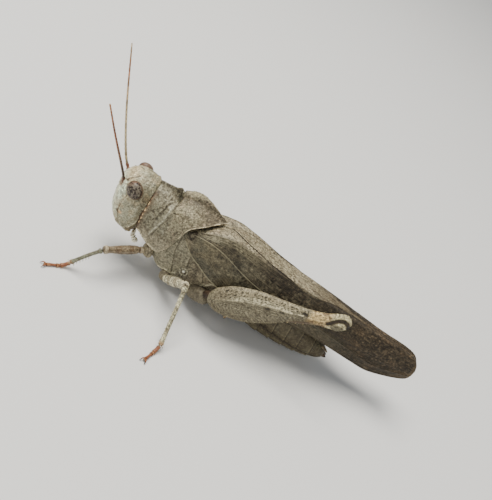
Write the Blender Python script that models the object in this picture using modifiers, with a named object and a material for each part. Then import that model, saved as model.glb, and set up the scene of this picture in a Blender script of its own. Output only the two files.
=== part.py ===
"""A life-size locust, a female band-winged grasshopper at rest with its wings folded.

The body frame is in millimetres: x runs from the face to the wing tips, y to the animal's
right and z up, with the face at x = 0 and the mid body axis at y = z = 0. Every sub-part hangs
on one empty, which puts the bottom centre of the whole model's box on the origin.
"""

import math

import bmesh
import bpy
from mathutils import Matrix, Vector

MM = 0.001

# Driving dimensions, in millimetres.
GROUND = -9.5
BODY_LENGTH = 50.0
GAP = 0.12
SHELL = 0.35
WING_SHELL = 0.5

HEAD_TOP = 4.65
HEAD_HALF_WIDTH = 3.2
HEAD_TURN = math.radians(4.5)
NECK = (5.2, 0.0, 0.0)
EYE_CENTRE = (2.15, 2.78, 3.28)
EYE_RADII = (1.18, 0.86, 1.12)
EYE_TILT = math.radians(-32)

CREST_TOP = 5.8
SULCUS = 8.02
PRONOTUM_FRONT = 5.12
PRONOTUM_APEX = 15.55

ANTENNA_RADIUS = 0.26
ANTENNA_BASE = (0.5, 1.2, 2.3)
ANTENNA_PIT = (0.3, 1.35, 2.6)
PIT_RADIUS = 0.82
ANTENNA_BENDS = {-1: ((-0.3, 2.26, 4.62), (-3.0, 5.55, 11.3), (-4.85, 8.35, 16.5)),
                 1: ((-1.12, 2.36, 4.02), (-3.85, 4.65, 8.9), (-7.22, 8.0, 16.17))}

HIND_HIP = (18.4, 5.3, -3.7)
HIND_KNEE = (35.2, 4.25, 2.5)
HIND_ANKLE = (22.2, 3.9, -6.5)
HIND_TOES = {-1: (22.9, 0.3, -9.25), 1: (22.9, 1.9, -9.25)}
HIND_DROP = {-1: 0.0, 1: math.radians(15.5)}

BODY_SIDES = 18

COLLECTION = "locust"
CUTTERS = "locust_cutters"


# ---------------------------------------------------------------- small helpers

def clear_scene():
    for obj in list(bpy.data.objects):
        bpy.data.objects.remove(obj, do_unlink=True)


def collection(name):
    made = bpy.data.collections.new(name)
    bpy.context.scene.collection.children.link(made)
    return made


def material(name, colour, roughness, metallic=0.0):
    made = bpy.data.materials.new(name)
    made.use_nodes = True
    shader = made.node_tree.nodes["Principled BSDF"]
    shader.inputs["Base Color"].default_value = (*colour, 1.0)
    shader.inputs["Roughness"].default_value = roughness
    shader.inputs["Metallic"].default_value = metallic
    return made


def smooth_between(stations, key):
    """Values at key on a smooth curve through rows of (key, value, value, ...)."""
    last = len(stations) - 1
    if key <= stations[0][0]:
        return list(stations[0][1:])
    if key >= stations[last][0]:
        return list(stations[last][1:])
    i = max(n for n in range(last) if stations[n][0] <= key)
    low, high = stations[i], stations[i + 1]
    span = high[0] - low[0]
    t = (key - low[0]) / span
    before = stations[i - 1] if i > 0 else low
    after = stations[i + 2] if i + 2 <= last else high
    values = []
    for n in range(1, len(low)):
        slope_low = (high[n] - before[n]) / (high[0] - before[0])
        slope_high = (after[n] - low[n]) / (after[0] - low[0])
        values.append((2 * t**3 - 3 * t**2 + 1) * low[n]
                      + (t**3 - 2 * t**2 + t) * span * slope_low
                      + (3 * t**2 - 2 * t**3) * high[n]
                      + (t**3 - t**2) * span * slope_high)
    return values


def smooth_path(points, steps):
    """Evenly spaced keys along a smooth curve through points."""
    rows = [(0.0, *points[0])]
    for a, b in zip(points, points[1:]):
        rows.append((rows[-1][0] + (Vector(b) - Vector(a)).length, *b))
    length = rows[-1][0]
    return [Vector(smooth_between(rows, length * n / steps)) for n in range(steps + 1)]


def oval(centre, across, up, sides, squareness=2.0):
    """A ring of points on a superellipse, counter-clockwise from across to up."""
    ring = []
    power = 2.0 / squareness
    for n in range(sides):
        angle = 2 * math.pi * n / sides
        c, s = math.cos(angle), math.sin(angle)
        c = math.copysign(abs(c)**power, c)
        s = math.copysign(abs(s)**power, s)
        ring.append(Vector(centre) + Vector(across) * c + Vector(up) * s)
    return ring


def link(name, mesh, finish):
    obj = bpy.data.objects.new(name, mesh)
    bpy.data.collections[COLLECTION].objects.link(obj)
    obj.data.materials.append(finish)
    obj.parent = bpy.data.objects["locust_root"]
    return obj


def shade(mesh, angle=math.radians(40)):
    mesh.shade_smooth()
    mesh.set_sharp_from_angle(angle=angle)


def loft(name, rings, finish, strip_ends=False):
    """A closed body through rings of equally many points, with an end face, or with a strip
    of faces across a thin wall, at each end."""
    bm = bmesh.new()
    rows = [[bm.verts.new(point * MM) for point in ring] for ring in rings]
    count = len(rows[0])
    for row, following in zip(rows, rows[1:]):
        for n in range(count):
            m = (n + 1) % count
            bm.faces.new((row[n], row[m], following[m], following[n]))
    for row in (rows[0], rows[-1]):
        if strip_ends:
            for n in range(count // 2 - 1):
                bm.faces.new((row[n], row[n + 1], row[-n - 2], row[-n - 1]))
        else:
            bm.faces.new(row)
    bmesh.ops.recalc_face_normals(bm, faces=bm.faces)
    mesh = bpy.data.meshes.new(name)
    bm.to_mesh(mesh)
    bm.free()
    shade(mesh)
    return link(name, mesh, finish)


def sheet(name, rows, finish, thickness):
    """A shell: a grid of points with its wall set inwards."""
    bm = bmesh.new()
    grid = [[bm.verts.new(point * MM) for point in row] for row in rows]
    for row, following in zip(grid, grid[1:]):
        for n in range(len(row) - 1):
            bm.faces.new((row[n], following[n], following[n + 1], row[n + 1]))
    mesh = bpy.data.meshes.new(name)
    bm.to_mesh(mesh)
    bm.free()
    shade(mesh)
    obj = link(name, mesh, finish)
    wall = obj.modifiers.new("wall", "SOLIDIFY")
    wall.thickness = thickness * MM
    wall.offset = -1.0
    return obj


def flatten_soles(mesh):
    """Points below the ground come up to it, which leaves small flats to stand on."""
    for vertex in mesh.vertices:
        vertex.co.z = max(vertex.co.z, GROUND * MM)


def tube(name, points, radii, finish, roundness=2):
    """A round limb: a curve with a bevel, its caps welded, standing on a flat sole."""
    curve = bpy.data.curves.new(name + "_line", "CURVE")
    curve.dimensions = "3D"
    curve.bevel_depth = MM
    curve.bevel_resolution = roundness
    curve.use_fill_caps = True
    line = curve.splines.new("POLY")
    line.points.add(len(points) - 1)
    for spot, point, radius in zip(line.points, points, radii):
        spot.co = (*(Vector(point) * MM), 1.0)
        spot.radius = radius
    guide = bpy.data.objects.new(name + "_line", curve)
    bpy.data.collections[COLLECTION].objects.link(guide)
    seen = guide.evaluated_get(bpy.context.evaluated_depsgraph_get())
    mesh = bpy.data.meshes.new_from_object(seen)
    bpy.data.objects.remove(guide, do_unlink=True)
    bpy.data.curves.remove(curve)
    bm = bmesh.new()
    bm.from_mesh(mesh)
    bmesh.ops.remove_doubles(bm, verts=bm.verts, dist=0.002 * MM)
    bmesh.ops.recalc_face_normals(bm, faces=bm.faces)
    bm.to_mesh(mesh)
    bm.free()
    mesh.name = name
    mesh.materials.clear()
    flatten_soles(mesh)
    shade(mesh)
    return link(name, mesh, finish)


def as_cutter(obj):
    bpy.data.collections[COLLECTION].objects.unlink(obj)
    bpy.data.collections[CUTTERS].objects.link(obj)
    obj.hide_render = True
    obj.display_type = "WIRE"
    return obj


def boolean(obj, other, operation):
    cut = obj.modifiers.new(other.name, "BOOLEAN")
    cut.object = other
    cut.operation = operation
    cut.solver = "EXACT"
    return cut


def sided(side, point):
    """A point given for the right side, on the side asked for."""
    return Vector((point[0], point[1] * side, point[2]))


def side_name(side):
    return "right" if side > 0 else "left"


# ---------------------------------------------------------------- head

# z, front x, rear x, half width of the level sections of the head capsule
HEAD_LEVELS = (
    (-4.1, 1.75, 4.7, 1.9),
    (-3.3, 1.0, 5.0, 2.45),
    (-2.0, 0.3, 5.05, 2.88),
    (-0.4, 0.0, 5.03, 3.12),
    (1.2, -0.12, 5.0, HEAD_HALF_WIDTH),
    (2.6, -0.16, 4.95, 3.02),
    (3.4, 0.0, 4.9, 2.7),
    (3.95, 0.4, 4.85, 2.25),
    (4.35, 1.2, 4.8, 1.65),
    (HEAD_TOP, 2.7, 4.7, 0.8),
)


def turn_head(obj):
    obj.parent = bpy.data.objects["locust_head_turn"]
    return obj


def eyeball(name, side, growth, finish):
    bm = bmesh.new()
    bmesh.ops.create_uvsphere(bm, u_segments=16, v_segments=10, radius=MM)
    sized = Matrix.Diagonal([r + growth for r in EYE_RADII]).to_4x4()
    turned = Matrix.Rotation(EYE_TILT, 4, "Y")
    placed = Matrix.Translation(sided(side, EYE_CENTRE) * MM)
    bmesh.ops.transform(bm, matrix=placed @ turned @ sized, verts=bm.verts)
    mesh = bpy.data.meshes.new(name)
    bm.to_mesh(mesh)
    bm.free()
    shade(mesh)
    return turn_head(link(name, mesh, finish))


def head(finishes):
    rings = []
    levels = 13
    low, high = HEAD_LEVELS[0][0], HEAD_LEVELS[-1][0]
    for n in range(levels):
        z = low + (high - low) * math.sin(0.5 * math.pi * n / (levels - 1))**0.8
        front, rear, half_width = smooth_between(HEAD_LEVELS, z)
        rings.append(oval(((front + rear) / 2, 0, z), ((rear - front) / 2, 0, 0),
                          (0, half_width, 0), BODY_SIDES + 2, 2.25))
    skull = turn_head(loft("head", rings, finishes["head"]))
    for side in (-1, 1):
        where = side_name(side)
        eyeball("eye_" + where, side, 0.0, finishes["eye"])
        boolean(skull, as_cutter(eyeball("socket_" + where, side, GAP, finishes["eye"])),
                "DIFFERENCE")
        pit = antenna_pit("pit_" + where, side, finishes["antenna"])
        boolean(skull, as_cutter(pit), "DIFFERENCE")
        antenna(side, finishes["antenna"])
        mandible(side, finishes["mouth"])
        palp(side, finishes["palp"])
    labrum(finishes["mouth"])
    labium(finishes["mouth"])


def antenna(side, finish):
    """A short stout scape and a thin lash that rises, spreads and bends gently back."""
    route = [sided(side, point) for point in (ANTENNA_BASE, *ANTENNA_BENDS[side])]
    points = smooth_path(route, 14)
    radii = [0.36] + [ANTENNA_RADIUS] * 14
    turn_head(tube("antenna_" + side_name(side), points, radii, finish))


def antenna_pit(name, side, finish):
    bm = bmesh.new()
    bmesh.ops.create_uvsphere(bm, u_segments=12, v_segments=6, radius=PIT_RADIUS * MM)
    bmesh.ops.translate(bm, verts=bm.verts, vec=sided(side, ANTENNA_PIT) * MM)
    mesh = bpy.data.meshes.new(name)
    bm.to_mesh(mesh)
    bm.free()
    return turn_head(link(name, mesh, finish))


def mandible(side, finish):
    """The jaw's outer plate, below the cheek."""
    rings = []
    for t in (0.0, 0.35, 0.7, 1.0):
        z = -4.22 - 1.35 * t
        centre = sided(side, (3.5 + 0.25 * t, 1.3 - 0.42 * t, z))
        rings.append(oval(centre, (1.02 - 0.42 * t, 0, 0), (0, 0.62 - 0.2 * t, 0), 8, 2.4))
    turn_head(loft("mandible_" + side_name(side), rings, finish))


def labrum(finish):
    """The upper lip, hanging in front of the jaws from the lower edge of the face."""
    rings = []
    for t in (0.0, 0.35, 0.7, 1.0):
        z = -4.22 - 1.4 * t
        x = 2.1 + 0.7 * t
        rings.append(oval((x, 0, z), (0.26, 0, 0), (0, 1.15 - 0.25 * t * t, 0), 12, 2.6))
    turn_head(loft("labrum", rings, finish))


def labium(finish):
    """The lower lip, behind the jaws."""
    rings = []
    for t in (0.0, 0.5, 1.0):
        z = -4.22 - 1.2 * t
        rings.append(oval((4.78 - 0.1 * t, 0, z), (0.22, 0, 0), (0, 1.3 - 0.3 * t, 0), 10, 2.6))
    turn_head(loft("labium", rings, finish))


def palp(side, finish):
    """The jointed feeler of the lower jaw, bent down and forwards."""
    route = [sided(side, p) for p in ((4.3, 2.0, -4.45), (4.3, 2.2, -5.15),
                                      (3.85, 2.2, -5.75), (3.3, 2.0, -6.15))]
    points = smooth_path(route, 7)
    radii = [0.25, 0.25, 0.26, 0.27, 0.27, 0.28, 0.28, 0.2]
    turn_head(tube("palp_" + side_name(side), points, radii, finish))


# ---------------------------------------------------------------- pronotum

# x, height of the crest; it is cut down to the disc where the main furrow crosses it
CREST = ((4.6, 4.68), (5.8, 5.0), (7.0, 5.18), (7.8, 5.38), (SULCUS, 4.25), (8.45, 4.9),
         (9.6, 5.32), (10.9, CREST_TOP), (12.0, 5.74), (13.4, 5.28), (14.6, 4.72),
         (PRONOTUM_APEX, 4.25))
# x, then y and z of the crest's foot, the shoulder, the flank and the lower margin
PRONOTUM_SECTIONS = (
    (4.6, 0.4, 4.3, 2.15, 3.2, 3.25, 1.1, 3.0, -1.8),
    (6.5, 0.4, 4.5, 2.4, 3.3, 3.4, 1.0, 3.2, -2.85),
    (8.0, 0.4, 4.15, 2.65, 3.45, 3.55, 1.0, 3.35, -3.6),
    (9.5, 0.45, 4.8, 3.05, 4.05, 3.85, 1.2, 3.45, -3.45),
    (10.9, 0.5, 5.05, 3.35, 4.05, 4.15, 1.6, 3.55, -2.6),
    (12.4, 0.5, 4.85, 3.3, 3.6, 4.1, 2.0, 3.6, -1.0),
    (13.7, 0.5, 4.6, 3.1, 3.4, 3.9, 2.2, 3.6, 0.0),
    (PRONOTUM_APEX, 0.4, 4.2, 2.6, 3.5, 3.6, 2.4, 3.5, 1.0),
)
# place between the crest (0) and the lower margin (1), front x, rear x of the plate
PRONOTUM_MARGINS = (
    (0.0, 4.72, PRONOTUM_APEX),
    (0.12, 4.9, 14.8),
    (0.28, 5.1, 13.6),
    (0.45, PRONOTUM_FRONT, 12.25),
    (0.6, PRONOTUM_FRONT, 11.2),
    (0.75, 5.15, 10.7),
    (0.9, 5.2, 10.15),
    (1.0, 5.35, 9.2),
)
FLANK_PLACES = (0.0, 0.1, 0.45, 0.72, 1.0)


def pronotum_point(side, along, down):
    front, rear = smooth_between(PRONOTUM_MARGINS, down)
    x = front + (rear - front) * along
    crest = smooth_between(CREST, x)[0]
    values = smooth_between(PRONOTUM_SECTIONS, x)
    corners = [(0.0, crest)] + [(values[n], values[n + 1]) for n in range(0, 8, 2)]
    section = [(place, *corner) for place, corner in zip(FLANK_PLACES, corners)]
    y, z = smooth_between(section, down)
    return Vector((x, side * y, z))


def pronotum(finish):
    downs = (0.1, 0.2, 0.32, 0.45, 0.58, 0.72, 0.86, 1.0)
    sulcus = (SULCUS - 4.62) / (PRONOTUM_APEX - 4.62)
    alongs = (0.0, 0.1, 0.2, sulcus - 0.025, sulcus, sulcus + 0.04, 0.45, 0.57, 0.68, 0.79,
              0.9, 1.0)
    rows = []
    for along in alongs:
        left = [pronotum_point(-1, along, down) for down in reversed(downs)]
        right = [pronotum_point(1, along, down) for down in downs]
        rows.append(left + [pronotum_point(1, along, 0.0)] + right)
    sheet("pronotum", rows, finish, SHELL)


# ---------------------------------------------------------------- trunk

# x, lower z, upper z, half width of the thorax
THORAX = (
    (5.4, -2.6, 2.3, 1.5),
    (6.3, -3.9, 2.6, 2.2),
    (8.2, -5.0, 2.8, 2.55),
    (10.6, -6.5, 2.4, 3.05),
    (12.5, -6.9, 1.6, 3.25),
    (15.0, -7.2, 1.6, 3.25),
    (17.0, -7.3, 1.8, 3.1),
    (18.4, -7.1, 1.8, 2.7),
)
# x, lower z, upper z, half width of the abdomen
ABDOMEN = (
    (18.55, -7.1, 1.5, 2.35),
    (20.5, -7.9, 1.5, 2.38),
    (24.0, -8.7, 0.6, 2.42),
    (28.0, -9.1, -0.6, 2.4),
    (32.0, -9.0, -2.6, 2.15),
    (35.0, -8.55, -4.1, 1.8),
    (37.0, -7.9, -5.2, 1.3),
    (37.8, -7.45, -5.8, 0.85),
)
ABDOMEN_SEGMENTS = 9


def trunk_ring(stations, x, sides, squareness):
    low, high, half_width = smooth_between(stations, x)
    return oval((x, 0, (low + high) / 2), (0, half_width, 0), (0, 0, (high - low) / 2),
                sides, squareness)


def thorax(finish):
    first, last = THORAX[0][0], THORAX[-1][0]
    steps = 10
    rings = [trunk_ring(THORAX, first + (last - first) * n / steps, BODY_SIDES, 2.5)
             for n in range(steps + 1)]
    loft("thorax", rings, finish)


def abdomen(finish):
    """Nine rings, each a little wider at its rear edge than where the next one starts."""
    first, last = ABDOMEN[0][0], ABDOMEN[-1][0]
    step = (last - first) / ABDOMEN_SEGMENTS
    rings = []
    for n in range(ABDOMEN_SEGMENTS):
        for part, swell in ((0.02, 0.97), (0.86, 1.015)):
            x = first + step * (n + part)
            ring = trunk_ring(ABDOMEN, x, 16, 2.15)
            middle = sum(ring, Vector()) / len(ring)
            rings.append([middle + (point - middle) * swell for point in ring])
    loft("abdomen", rings, finish)


def tail_pieces(finishes):
    """The short egg-laying valves and the two cerci above them."""
    rings = []
    for t in (0.0, 0.5, 1.0):
        centre = (37.75 + 0.95 * t, 0, -6.7 - 0.25 * t)
        rings.append(oval(centre, (0, 0.62 - 0.28 * t, 0), (0, 0, 0.55 - 0.28 * t), 8))
    loft("ovipositor", rings, finishes["ovipositor"])
    for side in (-1, 1):
        route = [sided(side, p) for p in ((37.3, 0.8, -5.1), (37.75, 1.0, -5.2),
                                          (38.25, 1.05, -5.45))]
        tube("cercus_" + side_name(side), route, [0.26, 0.26, 0.14], finishes["abdomen"])


# ---------------------------------------------------------------- wings

# x, then y and z of the lower (costal) edge, y and z of the bend between flank and back
TEGMEN = (
    (11.5, 3.68, 1.2, 3.2, 2.3),
    (13.2, 3.8, -0.5, 2.75, 3.0),
    (15.0, 3.88, -2.2, 2.55, 3.7),
    (17.0, 3.95, -3.5, 2.35, 4.2),
    (20.5, 3.95, -3.5, 2.05, 3.95),
    (24.0, 3.85, -3.1, 1.85, 3.35),
    (28.5, 3.6, -2.7, 1.6, 2.85),
    (33.5, 3.25, -2.4, 1.3, 2.65),
    (37.2, 2.9, -2.8, 1.15, 2.35),
    (41.5, 2.2, -3.55, 0.95, 2.05),
    (44.0, 1.75, -3.9, 0.85, 1.95),
    (46.8, 1.4, -3.3, 0.86, 1.85),
    (48.8, 1.2, -2.5, 0.86, 1.4),
    (49.7, 1.05, -1.9, 0.86, 0.6),
    (BODY_LENGTH, 0.95, -1.2, 0.85, -0.1),
)
# x, y of the left tegmen's free edge, which crosses the mid line and lies on the right one
TEGMEN_FREE_EDGE = ((11.5, -1.9), (13.4, -1.1), (15.2, -0.1), (17.0, 0.6), (28.0, 0.75), (36.0, 0.3),
                    (41.0, -0.12), (BODY_LENGTH, -0.12))
TEGMEN_COLUMNS = (11.5, 13.4, 15.2, 17.0, 20.0, 24.0, 28.5, 33.5, 37.2, 41.5, 44.0, 46.8,
                  48.5, 49.5, BODY_LENGTH)
LOWER_LAYER = 0.62


def tegmen_row(side, x, inset):
    """A section of one tegmen, from its lower edge up the flank and over the back."""
    edge_y, edge_z, bend_y, bend_z = smooth_between(TEGMEN, x)
    free_y = smooth_between(TEGMEN_FREE_EDGE, x)[0]
    top = bend_z - inset
    row = []
    for t in (0.0, 0.22, 0.45, 0.67, 0.86, 0.97):
        z = edge_z + (top - edge_z) * t
        place = (z - edge_z) / (bend_z - edge_z)
        bulge = 0.22 * math.sin(math.pi * place) * (edge_z < bend_z - 1.5)
        y = edge_y + (bend_y - edge_y) * place**1.7 + bulge - inset
        row.append(Vector((x, side * y, z)))
    start = bend_y - inset
    end = -free_y
    if side > 0 and free_y > -0.3:
        end = max(0.7 - bend_y, min(free_y, 0.0) + GAP)
    layer = LOWER_LAYER * min(1.0, (bend_z - edge_z) / 4.0)
    for t in (0.12, 0.4, 0.7, 1.0):
        y = start + (end - start) * t
        sunk = min(1.0, (bend_y - y) / (bend_y - free_y - GAP))
        arch = 0.12 * math.sin(math.pi * t)
        z = top - layer * sunk if side > 0 else top + arch
        row.append(Vector((x, side * y, z)))
    return row


def tegmina(finish):
    for side in (-1, 1):
        outer = [tegmen_row(side, x, 0.0) for x in TEGMEN_COLUMNS]
        inner = [tegmen_row(side, x, WING_SHELL) for x in TEGMEN_COLUMNS]
        walls = [out + list(reversed(back)) for out, back in zip(outer, inner)]
        loft("tegmen_" + side_name(side), walls, finish, strip_ends=True)


def hindwings(finish):
    """The folded fans, packed flat inside the tegmina."""
    inset = WING_SHELL + 2 * GAP
    for side in (-1, 1):
        rows = []
        for x in (18.7, 21.5, 25.0, 30.0, 35.0, 40.0, 43.5, 46.5):
            edge_y, edge_z, bend_y, bend_z = smooth_between(TEGMEN, x)
            low, high = edge_z + 0.45, bend_z - 1.75
            row = []
            for t in (0.0, 0.5, 1.0):
                z = low + (high - low) * t
                place = (z - edge_z) / (bend_z - edge_z)
                y = edge_y + (bend_y - edge_y) * place**1.7 - inset
                row.append(Vector((x, side * max(y, GAP + WING_SHELL), z)))
            rows.append(row if side < 0 else list(reversed(row)))
        sheet("hindwing_" + side_name(side), rows, finish, WING_SHELL)


# ---------------------------------------------------------------- legs

class Leg:
    """The joints of one leg, given for the right side, and the sizes of its pieces."""

    def __init__(self, name, coxa, hip, knee, ankle, toe, femur, tibia):
        self.name, self.coxa, self.hip = name, coxa, hip
        self.knee, self.ankle, self.toe = knee, ankle, toe
        self.femur, self.tibia = femur, tibia


WALKING_LEGS = (
    (-1, Leg("fore", (8.3, 2.5, -4.55), (7.45, 3.1, -4.7), (2.85, 7.55, -4.5),
             (-0.05, 8.7, -8.4), (-2.6, 10.54, -9.25), 0.62, 0.36)),
    (1, Leg("fore", (8.3, 2.5, -4.55), (7.6, 3.1, -4.75), (4.7, 7.8, -4.2),
            (3.4, 9.6, -8.4), (1.7, 11.9, -9.25), 0.62, 0.36)),
    (-1, Leg("mid", (11.6, 2.8, -6.75), (12.0, 3.75, -6.65), (14.72, 7.85, -2.28),
             (15.83, 13.6, -8.5), (14.95, 16.2, -9.25), 0.68, 0.38)),
    (1, Leg("mid", (11.6, 2.8, -6.75), (12.3, 3.75, -6.65), (15.6, 7.9, -2.6),
            (17.6, 12.6, -8.5), (18.2, 15.5, -9.25), 0.68, 0.38)),
)


def coxa(side, leg, size, finish):
    """The hip block, from the underside of the thorax to the femur."""
    start, end = sided(side, leg.coxa), sided(side, leg.hip)
    points = smooth_path([start, start.lerp(end, 0.5), end], 4)
    radii = [size * k for k in (0.85, 1.0, 0.95, 0.8, 0.62)]
    tube("coxa_%s_%s" % (leg.name, side_name(side)), points, radii, finish)


def femur(side, leg, finish):
    start, end = sided(side, leg.hip), sided(side, leg.knee)
    along = (end - start).normalized()
    start = start + along * (GAP + 0.55)
    points = [start.lerp(end, t) for t in (0.0, 0.15, 0.4, 0.7, 0.88, 1.0)]
    radii = [leg.femur * k for k in (0.7, 0.95, 1.0, 0.85, 0.8, 0.66)]
    tube("femur_%s_%s" % (leg.name, side_name(side)), points, radii, finish)


def tibia(side, leg, finish):
    start, end = sided(side, leg.knee), sided(side, leg.ankle)
    hinge = (start - sided(side, leg.hip)).normalized()
    along = (end - start).normalized()
    start = start + hinge * 0.35 + along * (leg.femur * 0.75 + GAP)
    points = [start.lerp(end, t) for t in (0.0, 0.1, 0.5, 0.9, 1.0)]
    radii = [leg.tibia * k for k in (1.15, 0.95, 0.85, 0.85, 1.0)]
    tube("tibia_%s_%s" % (leg.name, side_name(side)), points, radii, finish)


def tarsus(side, name, ankle, toe, tibia_direction, finish, farthest=0.55):
    """Three foot segments on one line, with two claws joined to the last."""
    start, end = sided(side, ankle), sided(side, toe)
    start = start + (end - start).normalized() * (GAP + 0.32) + tibia_direction * 0.12
    level = Vector((end.x - start.x, end.y - start.y, 0)).normalized()
    reach = min(farthest, 0.12 + 0.2 * (start.z - GROUND))
    heel = start.lerp(end, reach)
    heel.z = min(heel.z, GROUND + 0.32)
    route = [start, heel, start.lerp(end, (1 + reach) / 2), end]
    for spot in route[2:]:
        spot.z = GROUND + 0.3
    points = smooth_path(route, 9)
    radii = [0.27, 0.3, 0.33, 0.36, 0.28, 0.34, 0.28, 0.27, 0.28, 0.3]
    foot = tube("tarsus_%s_%s" % (name, side_name(side)), points, radii, finish)
    across = level.cross(Vector((0, 0, 1)))
    for hand in (-1, 1):
        root = end - level * 0.2 + across * hand * 0.08
        tip = end + level * 0.75 + across * hand * 0.45 + Vector((0, 0, -0.12))
        bend = root.lerp(tip, 0.55) + Vector((0, 0, 0.16))
        claw = tube("claw_%s_%s_%d" % (name, side_name(side), hand), [root, bend, tip],
                    [0.2, 0.17, 0.08], finish, 0)
        boolean(foot, as_cutter(claw), "UNION")


def walking_legs(finishes):
    for side, leg in WALKING_LEGS:
        coxa(side, leg, 1.0, finishes["coxa"])
        femur(side, leg, finishes["femur_" + leg.name])
        tibia(side, leg, finishes["tibia"])
        direction = (sided(side, leg.ankle) - sided(side, leg.knee)).normalized()
        tarsus(side, leg.name, leg.ankle, leg.toe, direction, finishes["tarsus"])


# x, lower z, upper z, half thickness and distance from the mid line of the hind femur
HIND_FEMUR = (
    (18.3, -4.5, -3.0, 0.45, 5.3),
    (18.8, -5.0, -1.9, 0.8, 5.3),
    (20.2, -5.75, -0.55, 0.98, 5.2),
    (22.0, -5.75, 0.45, 1.0, 5.12),
    (24.5, -4.95, 1.3, 0.95, 4.97),
    (27.5, -2.9, 1.75, 0.82, 4.75),
    (30.4, -0.25, 2.35, 0.65, 4.5),
    (32.4, 0.55, 3.1, 0.6, 4.4),
    (34.2, 0.95, 4.2, 0.72, 4.25),
    (35.5, 1.55, 4.75, 0.75, 4.2),
    (36.4, 2.4, 4.3, 0.6, 4.2),
    (36.8, 3.0, 3.8, 0.4, 4.2),
)


def lowered(side, point):
    """A point of the hind leg on the side asked for, swung down about the hip."""
    drop = HIND_DROP[side]
    x, y, z = point[0] - HIND_HIP[0], point[1], point[2] - HIND_HIP[2]
    return Vector((HIND_HIP[0] + x * math.cos(drop) + z * math.sin(drop), side * y,
                   HIND_HIP[2] + z * math.cos(drop) - x * math.sin(drop)))


def hind_leg(side, finishes):
    where = side_name(side)
    rings = []
    for x, low, high, half, y in HIND_FEMUR:
        ring = oval((x, y, (low + high) / 2), (0, half, 0), (0, 0, (high - low) / 2), 12, 2.1)
        rings.append([lowered(side, point) for point in ring])
    thigh = loft("femur_hind_" + where, rings, finishes["femur_hind"])
    hip = Leg("hind", (17.2, 3.4, -6.1), (18.0, 4.5, -4.9), None, None, None, 0, 0)
    coxa(side, hip, 1.05, finishes["coxa"])

    knee = lowered(side, HIND_KNEE)
    ankle = lowered(side, HIND_ANKLE)
    ankle.z = max(ankle.z, GROUND + 0.95)
    points = [knee.lerp(ankle, t) for t in (0.0, 0.04, 0.3, 0.6, 0.93, 1.0)]
    shin = tube("tibia_hind_" + where, points, [0.4, 0.48, 0.42, 0.38, 0.4, 0.5],
                finishes["tibia_hind"])
    spines(side, shin, knee, ankle, finishes["tibia_hind"])
    groove = tube("groove_hind_" + where, points, [0.4 + 0.3] * len(points),
                  finishes["femur_hind"])
    boolean(thigh, as_cutter(groove), "DIFFERENCE")
    toe = HIND_TOES[side]
    toe = (ankle.x + toe[0] - HIND_ANKLE[0], toe[1], toe[2])
    tarsus(side, "hind", (ankle.x, abs(ankle.y), ankle.z), toe, (ankle - knee).normalized(),
           finishes["tarsus"], 0.68)


def spines(side, shin, knee, ankle, finish):
    """Two rows of short spines along the lower half of the hind shin."""
    along = (ankle - knee).normalized()
    down = Vector((-along.z, 0, along.x)).normalized()
    for row in (-1, 1):
        out = (down + Vector((0, row * 0.55, 0))).normalized()
        for n in range(7):
            root = knee.lerp(ankle, 0.36 + 0.095 * n)
            tip = root + out * 0.95 + along * 0.3
            thorn = tube("thorn_%s_%d_%d" % (side_name(side), row, n), [root, tip],
                         [0.17, 0.05], finish, 0)
            boolean(shin, as_cutter(thorn), "UNION")


# ---------------------------------------------------------------- whole

def stand_on_origin(root):
    """Moves the root so that the bottom centre of the whole model's box is the origin."""
    depsgraph = bpy.context.evaluated_depsgraph_get()
    low, high = Vector((1, 1, 1)), Vector((-1, -1, -1))
    for obj in bpy.data.collections[COLLECTION].objects:
        if obj.type != "MESH":
            continue
        for vertex in obj.evaluated_get(depsgraph).data.vertices:
            point = obj.matrix_world @ vertex.co
            low = Vector(map(min, low, point))
            high = Vector(map(max, high, point))
    root.location = (-(low.x + high.x) / 2, -(low.y + high.y) / 2, -low.z)


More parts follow.
